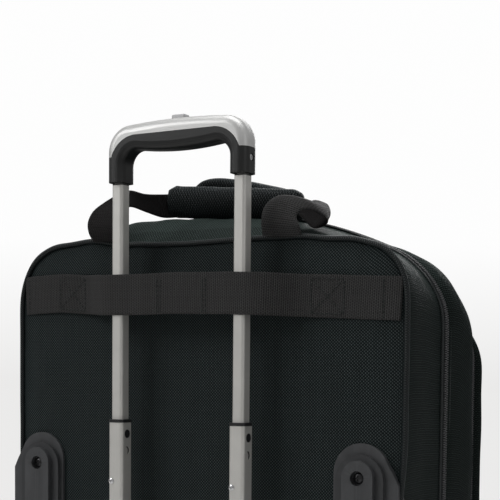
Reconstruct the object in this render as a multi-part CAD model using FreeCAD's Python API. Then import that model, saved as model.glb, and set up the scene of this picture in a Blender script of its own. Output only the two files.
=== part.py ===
import FreeCAD, Part
import math
import os

# Rolling laptop case with a telescopic trolley. Millimetres. +Z up, floor at Z = 0,
# X = 0 midway between the trolley tubes. The trolley and the wheels are on the back (+Y),
# the laptop lid and the pocket are on the front (-Y). "Left" pieces are on the +X side.

V = FreeCAD.Vector
X, Y, Z = V(1, 0, 0), V(0, 1, 0), V(0, 0, 1)
SIDES = {"left": 1, "right": -1}      # side name: sign of its X

# ---------------------------------------------------------------- dimensions
# bag body
HALF_W = 208.0          # back panel half width, inside its piping
BACK_Y = 115.0          # back rim of the main compartment
MAIN_FRONT_Y = 0.0      # front rim of the main compartment
BOTTOM_Z = 42.0         # underside of the bag
BACK_TOP_Z = 413.0      # top of the back panel
DOME_Z = 446.0          # highest point of the crowned top
SKIN = 3.0              # padded fabric wall
POCKET_SKIN = 2.0
BULGE = 5.0             # how far the back panel is pillowed out
LID_BACK_Y, LID_FRONT_Y = -4.0, -81.0
LID_TOP_Z = 374.0
PANEL_BACK_Y, PANEL_FRONT_Y = -85.0, -106.0
POCKET_FRONT_Y = -130.0
MAIN_ZIP_END_Z, FRONT_ZIP_END_Z = 82.0, 86.0    # lower ends of the zips

# trolley tubes: (width, depth, corner radius) and wall
TUBE_X = 66.8           # tube centre lines, left and right
TUBE_Y = 142.25
OUTER_TUBE, OUTER_WALL = (16.0, 17.5, 3.4), 1.0
MID_TUBE, MID_WALL = (12.2, 13.7, 3.0), 1.0
INNER_TUBE, INNER_WALL = (8.6, 10.1, 2.0), 0.9
OUTER_BOTTOM_Z, OUTER_TOP_Z = 27.0, 236.4
MID_BOTTOM_Z, MID_TOP_Z = 120.0, 460.0
INNER_BOTTOM_Z, INNER_TOP_Z = 165.0, 492.0
SLEEVE_BOTTOM_Z = 176.0     # lower end of the outer tubes' guide sleeves
COLLAR_TOP_Z = 239.4

# trolley locks
UPPER_PIN_Z, UPPER_LATCH_Z = 175.0, 430.0
LOWER_STAGE_DOWN, LOWER_STAGE_UP = 85.0, 55.0   # travel of the middle tubes from here
SNAP_HOLE_Z, PIN_HOLE_Z = 225.7, 209.6
LOWER_PIN_Z = PIN_HOLE_Z - LOWER_STAGE_UP
LOWER_HOLE_Z = LOWER_PIN_Z - LOWER_STAGE_DOWN
PIN_R, UPPER_PIN_R = 3.0, 2.0
TUBE_SCREW_Z = 180.6
TUBE_SCREW_DX = OUTER_TUBE[0] * 0.25            # screw off the tube's centre line
SCREW_BORE_R = 1.6

# grip
GRIP_Y = TUBE_Y
GRIP_DEPTH = 24.5
GRIP_HALF_W = 76.0
GRIP_IN_X = 57.6        # half width of the hand opening
GRIP_OUTER_R, GRIP_INNER_R = 25.0, 14.0
SOCKET_BOTTOM_Z = 462.0
SHELL_EDGE_Z = 485.0
SHELL_SEAM_Z = 504.0    # seam along the crossbar
GRIP_UNDER_Z = 491.5
GRIP_TOP_Z = 516.5
GRIP_ROUND = 7.0
GRIP_SCREW_Z = 476.0
BUTTON_W, BUTTON_D, BUTTON_PROUD = 14.5, 10.0, 3.5
BAR_Z0, BAR_Z1 = 499.9, 503.8

# wheels
WHEEL_X = 180.0
AXLE_Y, AXLE_Z = 124.0, 35.0
WHEEL_R, WHEEL_W, AXLE_R = 35.0, 24.0, 4.0
HUB_R, HUB_HALF_W = 24.0, 11.0
BUSH_R, BUSH_LENGTH = 8.0, 7.0

# wheel guards
WELL_R = 40.0                   # wheel space inside the housing
WELL_HALF_W = 14.5
HOUSING_HALF_W = 18.5
BAG_WELL_HALF_W = 19.0          # notch in the bag for the housing
GUARD_SCREW_X = 177.9
GUARD_SCREW_ZS = (192.9, 104.0)
GUARD_FACE_Y = 131.6
GUARD_SEAT_Y = GUARD_FACE_Y - 5.0

# tray, feet and bracket
TRAY_BOTTOM_Z = 30.0
FOOT_X, FOOT_Y = 150.0, 18.0
BRACKET_SCREW_XS, BRACKET_SCREW_Z = (-30, 30), 49.0
BASE_BORE_R = 2.1

pieces = {}


# ------------------------------------------------------------------- helpers
def box(x0, x1, y0, y1, z0, z1):
    return Part.makeBox(x1 - x0, y1 - y0, z1 - z0, V(x0, y0, z0))


def cyl(radius, start, direction, length):
    return Part.makeCylinder(radius, length, V(*start), direction)


def rounded_box(x0, x1, y0, y1, z0, z1, radius, axis="z"):
    """A box with its four edges along one axis rounded."""
    block = box(x0, x1, y0, y1, z0, z1)
    k = "xyz".index(axis)
    edges = []
    for edge in block.Edges:
        start, end = [vertex.Point for vertex in edge.Vertexes]
        if abs((end - start)[k]) > 1e-6:
            edges.append(edge)
    return block.makeFillet(radius, edges)


def prism(points, axis, start, end):
    """A prism along one axis; points hold the other two coordinates in x, y, z order."""
    k = "xyz".index(axis)
    corners = []
    for point in points:
        corner = list(point)
        corner.insert(k, start)
        corners.append(V(*corner))
    face = Part.Face(Part.makePolygon(corners + corners[:1]))
    return face.extrude((X, Y, Z)[k] * (end - start))


def wire_xz(y, start, *runs):
    """A wire at depth y from (x, z) points: a run of one point is a line to it,
    a run of two is an arc through the first to the second."""
    edges = []
    here = V(start[0], y, start[1])
    for run in runs:
        points = [V(x, y, z) for x, z in run]
        if len(points) == 1:
            edges.append(Part.makeLine(here, points[0]))
        else:
            edges.append(Part.Arc(here, *points).toShape())
        here = points[-1]
    return Part.Wire(edges)


def arc_points(x, z, radius, degrees):
    angles = [math.radians(d) for d in degrees]
    return [(x + radius * math.cos(a), z + radius * math.sin(a)) for a in angles]


def span(sign, inner, outer):
    """An X range given from the middle outwards, on the side of the sign."""
    return sorted((sign * inner, sign * outer))


def fillet_some(shape, radius, test):
    edges = [edge for edge in shape.Edges if test(edge)]
    return shape.makeFillet(radius, edges) if edges else shape


def near(a, b, tolerance=0.1):
    return abs(a - b) < tolerance


def loft(wires):
    return Part.makeLoft(wires, True, True)


def largest(shape):
    return max(shape.Solids, key=lambda solid: solid.Volume)


def put(name, *shapes):
    """Store a piece under its file name."""
    solids = [solid for shape in shapes for solid in shape.Solids]
    pieces[name] = solids[0] if len(solids) == 1 else Part.makeCompound(solids)


def drill(name, tool):
    """Cut a tool out of a stored piece."""
    pieces[name] = pieces[name].cut(tool)


def screw(seat, direction, head_r=4.2, head_h=2.4, shank_r=2.0, length=9.0):
    """Cross-recess dome screw: the head stands on the seat along the direction,
    the shank runs the other way."""
    rim = head_h * 0.45
    profile = wire_xz(
        0, (0, -length),
        [(shank_r, -length)], [(shank_r, 0)], [(head_r, 0)], [(head_r, rim)],
        [(head_r * 0.62, rim + (head_h - rim) * 0.72), (0, head_h)],
        [(0, -length)])
    body = Part.Face(profile).revolve(V(0, 0, 0), Z, 360)
    a, w = head_r * 0.55, head_r * 0.14     # half length and half width of the recess
    z0, z1 = head_h - 1.1, head_h + 1
    body = body.cut(box(-a, a, -w, w, z0, z1)).cut(box(-w, w, -a, a, z0, z1))
    body.Placement = FreeCAD.Placement(V(*seat), FreeCAD.Rotation(Z, direction))
    return body


def coil(start, axis, mean_r, wire_r, length, turns):
    """Round-wire compression spring from start along +Z or +X."""
    helix = Part.makeHelix(length / turns, length, mean_r)
    profile = Part.Wire(Part.makeCircle(wire_r, V(mean_r, 0, 0), Y))
    spring = Part.Wire(helix.Edges).makePipeShell([profile], True, True)
    if axis == "x":
        spring.rotate(V(0, 0, 0), Y, 90)
    spring.translate(V(*start))
    return spring


# --------------------------------------------------------- bag cross-sections
CORNER = 1 - math.sqrt(0.5)     # inset of a quarter circle's midpoint, per unit radius

# Stations, back to front: y, then half width, bottom z, bottom corner radius,
# shoulder start z, shoulder end x, shoulder end z, top z
BACK_OUTLINE = [HALF_W, BOTTOM_Z, 26.0, 350.0, 145.0, BACK_TOP_Z - 1.0, BACK_TOP_Z + 1.0]
MAIN = [
    (BACK_Y, BACK_OUTLINE),
    (95.0, [208.5, BOTTOM_Z, 26.0, 348.0, 145.0, 414.0, 430.0]),
    (60.0, [208.0, BOTTOM_Z, 26.0, 346.0, 143.0, 417.0, 439.0]),
    (MAIN_FRONT_Y, [206.0, BOTTOM_Z, 26.0, 342.0, 140.0, 415.0, DOME_Z]),
]
LID = [
    (LID_BACK_Y, [205.0, BOTTOM_Z + 4, 24.0, 340.0, 140.0, 412.0, DOME_Z - 2]),
    (LID_FRONT_Y, [202.0, BOTTOM_Z + 4, 24.0, 300.0, 140.0, 356.0, LID_TOP_Z]),
]
PANEL = [
    (PANEL_BACK_Y, [201.0, BOTTOM_Z + 7, 24.0, 296.0, 140.0, 350.0, LID_TOP_Z - 8]),
    (PANEL_FRONT_Y, [186.0, BOTTOM_Z + 17, 20.0, 270.0, 130.0, 326.0, LID_TOP_Z - 34]),
]
POCKET = [
    (PANEL_FRONT_Y, [182.0, BOTTOM_Z + 19, 18.0, 200.0, 160.0, 222.0, 234.0]),
    (POCKET_FRONT_Y, [168.0, BOTTOM_Z + 27, 16.0, 180.0, 150.0, 198.0, 208.0]),
]


def outline(y, half_w, bottom, corner_r, side_top, crown_x, crown_z, top, grow=0.0):
    """The bag's cross-section at depth y: straight sides, wide rounded shoulders
    and a crowned top."""
    half_w += grow
    bottom -= grow
    corner_r = max(corner_r + grow, 2.0)
    crown_z += grow
    top += grow
    inset = corner_r * CORNER
    mid_x = crown_x + (half_w - crown_x) * 0.715
    mid_z = side_top + (crown_z - side_top) * 0.715
    return wire_xz(
        y, (-half_w + corner_r, bottom),
        [(half_w - corner_r, bottom)],
        [(half_w - inset, bottom + inset), (half_w, bottom + corner_r)],
        [(half_w, side_top)],
        [(mid_x, mid_z), (crown_x, crown_z)],
        [(0, top), (-crown_x, crown_z)],
        [(-mid_x, mid_z), (-half_w, side_top)],
        [(-half_w, bottom + corner_r)],
        [(-half_w + inset, bottom + inset), (-half_w + corner_r, bottom)])


def section(stations, y, grow=0.0):
    """The outline at any depth, blended between stations or extrapolated."""
    for (ya, a), (yb, b) in zip(stations, stations[1:]):
        if y >= yb or yb == stations[-1][0]:
            t = (y - ya) / (yb - ya)
            return outline(y, *[p + (q - p) * t for p, q in zip(a, b)], grow=grow)


def body(stations, depths, grow=0.0):
    return loft([section(stations, y, grow) for y in depths])


def ring(stations, y0, y1, inner, outer):
    """A band around the bag between two offsets of its outline."""
    return body(stations, (y0, y1), outer).cut(body(stations, (y0, y1), inner))


def below(z):
    return box(-300, 300, -300, 200, -10, z)


# ------------------------------------------------------- main compartment
def wells(grow):
    """The space the wheel housings take out of the lower back corners."""
    left, right = [
        box(*span(sign, WHEEL_X - BAG_WELL_HALF_W - grow, WHEEL_X + BAG_WELL_HALF_W + grow),
            80.0 - grow, 140.0, 0.0, 80.0 + grow)
        for sign in (1, -1)]
    return left.fuse(right)


main_outer = body(MAIN, (BACK_Y, 95.0, 60.0, MAIN_FRONT_Y))
pillow = loft([section(MAIN, BACK_Y, -5.0),
               outline(BACK_Y + BULGE, *BACK_OUTLINE, grow=-42.0)])
# runs past the front rim, so the compartment is open there
main_inner = body(MAIN, (BACK_Y - SKIN, 95.0, 60.0, MAIN_FRONT_Y - 2.0), -SKIN)
bag_outside = main_outer.fuse(pillow)
bag_notched = bag_outside.cut(wells(0))
put("main_compartment", bag_notched.cut(main_inner.cut(wells(SKIN))))

# cord piped into the seam around the back panel, stopping above the wheels
piping = ring(MAIN, 112.4, 117.4, inner=0.2, outer=4.0).cut(below(82.5))
put("back_piping", piping)

# stiffener board inside the back panel, and the floor board
back_board = rounded_box(-190, 190, 109.2, 111.6, 84, 385, 30, "y")
put("stiffener_boards", back_board, box(-150, 150, 8, 108, 45.3, 48.3))

# laptop sleeve: a panel with a square lower edge and a foam floor
SLEEVE_HALF_W, SLEEVE_Y0, SLEEVE_Y1 = 196, 62, 68
STRAP_BACK_Y = 108.8            # also the back of the sleeve floor
sleeve = rounded_box(-SLEEVE_HALF_W, SLEEVE_HALF_W, SLEEVE_Y0, SLEEVE_Y1, 92, 350, 12, "y")
sleeve_edge = box(-SLEEVE_HALF_W, SLEEVE_HALF_W, SLEEVE_Y0, SLEEVE_Y1, 86, 110)
sleeve_floor = box(-SLEEVE_HALF_W, SLEEVE_HALF_W, SLEEVE_Y1, STRAP_BACK_Y, 86, 91.5)
put("laptop_sleeve", sleeve.fuse(sleeve_edge).fuse(sleeve_floor))

# retaining strap: up the front of the sleeve, over it and down behind
strap_front = box(-20, 20, 59.5, 61.5, 200, 352.5)
strap_over = box(-20, 20, 59.5, STRAP_BACK_Y, 352.5, 354.5)
strap_back = box(-20, 20, STRAP_BACK_Y - 2.0, STRAP_BACK_Y, 320, 352.5)
put("laptop_retaining_strap", strap_front.fuse(strap_over).fuse(strap_back))

# ------------------------------------------------- lid, front panel and pocket
lid_outer = body(LID, (LID_BACK_Y, LID_FRONT_Y))
lid_inner = body(LID, (LID_BACK_Y - SKIN, LID_FRONT_Y - 9.0), -SKIN)
put("lid_section", lid_outer.cut(lid_inner))

panel_outer = body(PANEL, (PANEL_BACK_Y, PANEL_FRONT_Y))
panel_inner = body(PANEL, (PANEL_BACK_Y + 5.0, PANEL_FRONT_Y + SKIN), -SKIN)
put("front_panel", panel_outer.cut(panel_inner))

pocket_outer = body(POCKET, (PANEL_FRONT_Y, POCKET_FRONT_Y))
pocket_inner = body(POCKET, (PANEL_FRONT_Y, POCKET_FRONT_Y + POCKET_SKIN), -POCKET_SKIN)
pocket_mouth = box(-140, 140, -121.5, -116.0, 195, 260)
put("front_pocket", pocket_outer.cut(pocket_inner).cut(pocket_mouth))

# ----------------------------------------------------------- zipper tapes
main_rear_tape = ring(MAIN, MAIN_FRONT_Y - 1.8, MAIN_FRONT_Y, inner=-3.0, outer=2.0)
main_front_tape = ring(MAIN, LID_BACK_Y, LID_BACK_Y + 2.0, inner=-3.5, outer=2.0)
put("main_zipper_rear_half", main_rear_tape.cut(below(MAIN_ZIP_END_Z)))
put("main_zipper_front_half", main_front_tape.cut(below(MAIN_ZIP_END_Z)).cut(lid_outer))

front_rear_tape = ring(LID, LID_FRONT_Y - 1.7, LID_FRONT_Y, inner=-3.0, outer=1.8)
front_front_tape = ring(LID, PANEL_BACK_Y + 0.1, PANEL_BACK_Y + 2.1, inner=-3.5, outer=1.8)
put("front_zipper_rear_half", front_rear_tape.cut(below(FRONT_ZIP_END_Z)))
put("front_zipper_front_half", front_front_tape.cut(below(FRONT_ZIP_END_Z)).cut(panel_outer))

# fabric hinges along the bottom, between the ends of the zips
put("lid_hinge_strip", box(-178, 178, -3.0, -0.2, 40.6, 43.4))
put("panel_hinge_strip", box(-174, 174, -84.2, -81.2, 45.0, 47.4))

# -------------------------------------------------------------- wheel guards
# skid rail steps, as (x, z) outlines with a rounded head
FLANGE = ([(151, 70), (151, 197)]
          + arc_points(GUARD_SCREW_X, 196.5, 27, range(180, 35, -12))
          + [(203, 206), (209, 196), (213.5, 187), (213.5, 70)])
STEP = ([(154.5, 60), (154.5, 189)]
        + arc_points(GUARD_SCREW_X - 0.2, 190.5, 23.2, range(180, -1, -15))
        + [(201, 60)])
RAIL = ([(163, 60), (163, 190)]
        + arc_points(GUARD_SCREW_X, 193.5, 15, range(180, -1, -15))
        + [(193, 60)])
# cheek on the side of the bag, as a (y, z) outline
SIDE_CHEEK = [(122.6, 187), (122.6, 40), (70, 40), (70, 92), (84, 120), (104, 168), (116, 184)]


def axle_cyl(radius, x, length):
    """A cylinder on the axle line, from x towards +X."""
    return cyl(radius, (x, AXLE_Y, AXLE_Z), X, length)


def wheel_housing():
    x0, x1 = WHEEL_X - HOUSING_HALF_W, WHEEL_X + HOUSING_HALF_W
    back, top = 140, 84
    housing = box(x0, x1, 80.5, back, 24, 80).fuse(box(x0, x1, 113, back, 60, top))
    # round the top back edge
    return fillet_some(
        housing.removeSplitter(), 6,
        lambda e: (near(e.BoundBox.YMin, back) and e.BoundBox.XLength > 20
                   and near(e.BoundBox.ZMin, top)))


def wheel_guard():
    """Moulded guard on the lower back corner, on the +X side: a flange, a stepped
    skid rail, a side cheek and a housing over the wheel."""
    guard = prism(FLANGE, "y", 113.0, 122.6)
    guard = guard.fuse(prism(STEP, "y", 113.0, 126.6))
    guard = guard.fuse(prism(RAIL, "y", 113.0, GUARD_FACE_Y))
    guard = guard.fuse(prism(SIDE_CHEEK, "x", 205.0, 213.5))
    guard = guard.fuse(wheel_housing())
    # link between housing and side cheek under the bag
    guard = guard.fuse(box(198.5, 213.5, 84, 122.6, 24, 41.5))
    guard = guard.cut(bag_notched)
    guard = guard.cut(piping)
    # wheel space, open to the back
    x0, x1 = WHEEL_X - WELL_HALF_W, WHEEL_X + WELL_HALF_W
    guard = guard.cut(axle_cyl(WELL_R, x0, x1 - x0))
    guard = guard.cut(box(x0, x1, AXLE_Y, 170, -5, 60))
    guard = guard.cut(axle_cyl(AXLE_R, 150, 80))
    for z in GUARD_SCREW_ZS:
        guard = guard.cut(cyl(6.6, (GUARD_SCREW_X, GUARD_SEAT_Y, z), Y, 10))
        guard = guard.cut(cyl(2.6, (GUARD_SCREW_X, 100, z), Y, 40))
    return largest(guard)


left_guard = wheel_guard()
put("wheel_guard_left", left_guard)
put("wheel_guard_right", left_guard.mirror(V(0, 0, 0), X))

guard_screws = []
for sign in (1, -1):
    for z in GUARD_SCREW_ZS:
        x = sign * GUARD_SCREW_X
        guard_screws.append(screw(
            (x, GUARD_SEAT_Y, z), Y, head_r=5.0, head_h=2.6, shank_r=2.4, length=17.5))
        clearance = cyl(2.5, (x, 105, z), Y, 30)
        drill("main_compartment", clearance)
        drill("stiffener_boards", clearance)
put("guard_screws", *guard_screws)


# ----------------------------------------------------------------- wheels
def wheel_hub(cx):
    """Hub with a ring-shaped recess in each face, bridged by five spokes."""
    hub = axle_cyl(HUB_R, cx - HUB_HALF_W, 2 * HUB_HALF_W)
    recess_depth = 6
    for x in (cx - HUB_HALF_W, cx + HUB_HALF_W - recess_depth):
        hub = hub.cut(axle_cyl(20.5, x, recess_depth).cut(axle_cyl(10.5, x - 4, 14)))
    for i in range(5):
        spoke = box(cx - 10.5, cx + 10.5, -1.7, 1.7, 9.5, 21.5)
        spoke.rotate(V(cx, 0, 0), X, 90 + 72 * i)
        spoke.translate(V(0, AXLE_Y, AXLE_Z))
        hub = hub.fuse(spoke)
    # bush seats, then the bore between them
    for x in (cx - HUB_HALF_W - 1, cx + HUB_HALF_W - BUSH_LENGTH):
        hub = hub.cut(axle_cyl(BUSH_R, x, BUSH_LENGTH + 1))
    return hub.cut(axle_cyl(5.0, cx - 20, 40))


def tyre(cx):
    tread = axle_cyl(WHEEL_R, cx - WHEEL_W / 2, WHEEL_W)
    rims = [e for e in tread.Edges if e.Curve.TypeId == "Part::GeomCircle"]
    return tread.makeFillet(5.0, rims).cut(axle_cyl(HUB_R, cx - 20, 40))


def bush(x):
    return axle_cyl(BUSH_R, x, BUSH_LENGTH).cut(axle_cyl(AXLE_R + 0.05, x - 1, 10))


def axle(sign):
    """Pin through both cheeks of a housing, with a cap on its inner end."""
    inner, outer = WHEEL_X - HOUSING_HALF_W, WHEEL_X + HOUSING_HALF_W
    pin = axle_cyl(AXLE_R, span(sign, inner, outer)[0], outer - inner)
    cap = axle_cyl(7.0, span(sign, inner - 2.0, inner)[0], 2.0)
    return pin.fuse(cap)


for side, sign in SIDES.items():
    cx = sign * WHEEL_X
    put("wheel_hub_" + side, wheel_hub(cx))
    put("tyre_" + side, tyre(cx))
    put("wheel_bushes_" + side, bush(cx - HUB_HALF_W), bush(cx + HUB_HALF_W - BUSH_LENGTH))
put("wheel_axles", axle(1), axle(-1))


# ------------------------------------------------------ base tray and feet
def base_tray():
    """Shallow tray under the bag, hollow below, with cross ribs and foot pads."""
    tray = rounded_box(-200, 200, 4, 113, TRAY_BOTTOM_Z, 41.9, 18)
    tray = tray.cut(rounded_box(-194, 194, 10, 107, TRAY_BOTTOM_Z - 1, 38.5, 14))
    for x in (-110, -82, -40, 40, 82, 110):
        tray = tray.fuse(box(x - 1.2, x + 1.2, 8, 109, 31, 39))
    for sign in (1, -1):
        x = sign * FOOT_X
        tray = tray.fuse(rounded_box(x - 22, x + 22, 5, 33, TRAY_BOTTOM_Z, 39, 5))
        # clear of the wheel guard
        tray = tray.cut(box(*span(sign, 160.5, 214), 79.5, 150, 20, 50))
    for sign in (1, -1):
        tray = tray.cut(cyl(BASE_BORE_R, (sign * FOOT_X, FOOT_Y, 20), Z, 18.5))
    return tray


def front_foot(x):
    """Hollow foot with a central screw post."""
    foot = rounded_box(x - 21, x + 21, 6, 32, 0, TRAY_BOTTOM_Z, 8)
    foot = fillet_some(foot, 3.0, lambda e: e.BoundBox.ZMax < 0.01)
    foot = foot.cut(rounded_box(x - 15, x + 15, 11, 27, 14, 31, 3))
    foot = foot.fuse(cyl(5.0, (x, FOOT_Y, 10), Z, 20))
    foot = foot.cut(cyl(4.6, (x, FOOT_Y, -1), Z, 9))
    return foot.cut(cyl(BASE_BORE_R, (x, FOOT_Y, -1), Z, 40))


put("base_tray", base_tray())
put("front_feet", front_foot(FOOT_X), front_foot(-FOOT_X))
base_screws = [screw((sign * FOOT_X, FOOT_Y, 8.0), V(0, 0, -1), length=29.0)
               for sign in (1, -1)]


# -------------------------------------------------------------- tube helpers
def tube_solid(cx, size, z0, z1, grow=0.0):
    width, depth, radius = size[0] + 2 * grow, size[1] + 2 * grow, size[2] + grow
    return rounded_box(cx - width / 2, cx + width / 2,
                       TUBE_Y - depth / 2, TUBE_Y + depth / 2, z0, z1, radius)


def bore_size(size, wall):
    return (size[0] - 2 * wall, size[1] - 2 * wall, size[2] - wall)


def hollow_tube(cx, size, bore, z0, z1):
    return tube_solid(cx, size, z0, z1).cut(tube_solid(cx, bore, z0 - 1, z1 + 1))


def cross_cyl(radius, x, z, length=12):
    """A cylinder in the tubes' centre plane, from x towards +X."""
    return cyl(radius, (x, TUBE_Y, z), X, length)


OUTER_BORE = bore_size(OUTER_TUBE, OUTER_WALL)
MID_BORE = bore_size(MID_TUBE, MID_WALL)
INNER_BORE = bore_size(INNER_TUBE, INNER_WALL)


# ----------------------------------------------------------- trolley bracket
def trolley_bracket():
    """Holds the feet of the outer tubes against the back of the bag."""
    back = 153
    bracket = box(-84, 84, 113, back, 24, 62)
    bracket = fillet_some(
        bracket, 6,
        lambda e: near(e.BoundBox.YMin, back) and near(e.BoundBox.YMax, back))
    for cx in (-TUBE_X, TUBE_X):
        bracket = bracket.cut(tube_solid(cx, OUTER_TUBE, OUTER_BOTTOM_Z, 80))
    # hollow the middle, leaving a thin plate and a shelf
    bracket = bracket.cut(box(-54, 54, 120, 170, 20, 54)).cut(box(-54, 54, 136, 170, 20, 80))
    bracket = bracket.cut(bag_outside).cut(main_outer)
    for x in BRACKET_SCREW_XS:
        bracket = bracket.cut(cyl(BASE_BORE_R, (x, 100, BRACKET_SCREW_Z), Y, 60))
    return largest(bracket)


put("trolley_bracket", trolley_bracket())
for x in BRACKET_SCREW_XS:
    base_screws.append(screw((x, 120.0, BRACKET_SCREW_Z), Y, length=12.0))
    drill("main_compartment", cyl(BASE_BORE_R, (x, 105, BRACKET_SCREW_Z), Y, 20))
put("base_screws", *base_screws)


# ----------------------------------------------------------------- outer tubes
def tube_screw_bore(cx):
    return cyl(SCREW_BORE_R, (cx + TUBE_SCREW_DX, TUBE_Y, TUBE_SCREW_Z), Y, 12)


def outer_tube(cx):
    tube = hollow_tube(cx, OUTER_TUBE, OUTER_BORE, OUTER_BOTTOM_Z, OUTER_TOP_Z)
    for z in (SNAP_HOLE_Z, PIN_HOLE_Z, LOWER_HOLE_Z):
        tube = tube.cut(cross_cyl(4.1, cx - 12, z))
    return tube.cut(tube_screw_bore(cx))


def guide_collar(cx):
    """Plastic guide sleeve inside the outer tube, with a collar over its mouth."""
    core_size = (OUTER_BORE[0] - 1.5, OUTER_BORE[1] - 1.5, OUTER_BORE[2] - 0.6)
    core = tube_solid(cx, core_size, 160, COLLAR_TOP_Z + 1)
    collar = tube_solid(cx, OUTER_BORE, SLEEVE_BOTTOM_Z, OUTER_TOP_Z)
    collar = collar.fuse(tube_solid(cx, OUTER_TUBE, OUTER_TOP_Z, COLLAR_TOP_Z, grow=0.4))
    collar = collar.cut(core)
    # boss that snaps into the tube's upper hole
    boss = cross_cyl(4.0, cx - OUTER_TUBE[0] / 2 - 0.2, SNAP_HOLE_Z, 1.6)
    collar = collar.fuse(boss.cut(core))
    collar = collar.cut(cross_cyl(3.4, cx - 12, PIN_HOLE_Z))
    # groove for the lock pin's nose, open at the bottom of the sleeve
    collar = collar.cut(box(cx - OUTER_BORE[0] / 2 - 1, cx - 4.0, TUBE_Y - 3.3, TUBE_Y + 3.3,
                            SLEEVE_BOTTOM_Z - 1, PIN_HOLE_Z))
    return collar.cut(tube_screw_bore(cx))


def tube_screw(cx):
    seat = (cx + TUBE_SCREW_DX, TUBE_Y + OUTER_TUBE[1] / 2, TUBE_SCREW_Z)
    return screw(seat, Y, head_r=2.9, head_h=1.5, shank_r=1.5, length=1.6)


for side, sign in SIDES.items():
    put("outer_tube_" + side, outer_tube(sign * TUBE_X))
put("guide_collars", guide_collar(TUBE_X), guide_collar(-TUBE_X))
put("tube_screws", tube_screw(TUBE_X), tube_screw(-TUBE_X))

# ------------------------------------------------- webbing over the tubes
STRAP_Z0, STRAP_Z1, WEB_T = 337.6, 376.5, 1.8
# bag side of the webbing in plan, (x, y) from the side seam to the centre
STRAP_HALF = [
    (205.5, 118.2), (170.0, 121.6), (128.0, 124.6), (104.0, 129.0),
    (84.0, 147.2), (75.0, 149.5), (0.0, 149.5),
]
strap_near = STRAP_HALF + [(-x, y) for x, y in reversed(STRAP_HALF[:-1])]
strap_far = [(x, y + WEB_T) for x, y in reversed(strap_near)]
strap = prism(strap_near + strap_far, "z", STRAP_Z0, STRAP_Z1)
put("tube_strap", strap.cut(bag_outside).cut(piping))


# --------------------------------------------------------------- middle stage
def middle_tube(cx):
    tube = hollow_tube(cx, MID_TUBE, MID_BORE, MID_BOTTOM_Z, MID_TOP_Z)
    tube = tube.cut(cross_cyl(PIN_R + 0.3, cx - 12, LOWER_PIN_Z))
    return tube.cut(cross_cyl(2.6, cx, UPPER_LATCH_Z))


def middle_collar(cx):
    collar = tube_solid(cx, MID_BORE, 438.0, MID_TOP_Z)
    collar = collar.fuse(tube_solid(cx, MID_TUBE, MID_TOP_Z, MID_TOP_Z + 1.2))
    return collar.cut(tube_solid(cx, INNER_TUBE, 430, 470, grow=0.15))


def middle_guide_block(cx):
    """Plug in the foot of the middle tube, with a flange below it."""
    block = tube_solid(cx, MID_BORE, MID_BOTTOM_Z, 162.0)
    block = block.fuse(tube_solid(cx, (13.6, 15.1, 2.2), MID_BOTTOM_Z - 6.0, MID_BOTTOM_Z))
    return block.cut(cross_cyl(PIN_R + 0.1, cx - 12, LOWER_PIN_Z, 15.5))


def lower_spring(cx):
    return coil((cx - 0.75, TUBE_Y, LOWER_PIN_Z), "x",
                mean_r=1.8, wire_r=0.35, length=3.6, turns=3.0)


for side, sign in SIDES.items():
    put("middle_tube_" + side, middle_tube(sign * TUBE_X))
put("middle_collars", middle_collar(TUBE_X), middle_collar(-TUBE_X))
put("middle_guide_blocks", middle_guide_block(TUBE_X), middle_guide_block(-TUBE_X))
put("lower_lock_pins",
    *[cross_cyl(PIN_R, cx - 6.7, LOWER_PIN_Z, 5.5) for cx in (TUBE_X, -TUBE_X)])
put("lower_pin_springs", lower_spring(TUBE_X), lower_spring(-TUBE_X))


# ---------------------------------------------------------------- inner stage
def inner_tube(cx):
    tube = hollow_tube(cx, INNER_TUBE, INNER_BORE, INNER_BOTTOM_Z, INNER_TOP_Z)
    return tube.cut(cross_cyl(2.3, cx, UPPER_PIN_Z))


def inner_guide_block(cx):
    """Plug in the foot of the inner tube, with a flange below it."""
    block = tube_solid(cx, INNER_BORE, INNER_BOTTOM_Z, 186.0)
    block = block.fuse(tube_solid(cx, (9.7, 11.2, 1.7), INNER_BOTTOM_Z - 2.0, INNER_BOTTOM_Z))
    return block.cut(cross_cyl(UPPER_PIN_R + 0.1, cx - 3.0, UPPER_PIN_Z))


def upper_spring(cx):
    return coil((cx - 2.6, TUBE_Y, UPPER_PIN_Z), "x",
                mean_r=1.2, wire_r=0.25, length=2.6, turns=3.0)


for side, sign in SIDES.items():
    put("inner_tube_" + side, inner_tube(sign * TUBE_X))
put("inner_guide_blocks", inner_guide_block(TUBE_X), inner_guide_block(-TUBE_X))
put("upper_lock_pins",
    *[cross_cyl(UPPER_PIN_R, cx + 1.2, UPPER_PIN_Z, 3.6) for cx in (TUBE_X, -TUBE_X)])
put("upper_pin_springs", upper_spring(TUBE_X), upper_spring(-TUBE_X))

# ----------------------------------------------------------------------- grip
# An arch over both tubes, split into a lower grip and a top shell.
GRIP_FRONT_Y, GRIP_BACK_Y = GRIP_Y - GRIP_DEPTH / 2, GRIP_Y + GRIP_DEPTH / 2


def grip_outside(y):
    """The grip's outside line."""
    half_w, top, radius = GRIP_HALF_W, GRIP_TOP_Z - 2.0, GRIP_OUTER_R
    inset = radius * CORNER
    return wire_xz(
        y, (-half_w, SOCKET_BOTTOM_Z),
        [(half_w, SOCKET_BOTTOM_Z)],
        [(half_w, top - radius)],
        [(half_w - inset, top - inset), (half_w - radius, top)],
        [(0, GRIP_TOP_Z), (-half_w + radius, top)],
        [(-half_w + inset, top - inset), (-half_w, top - radius)],
        [(-half_w, SOCKET_BOTTOM_Z)])


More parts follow.
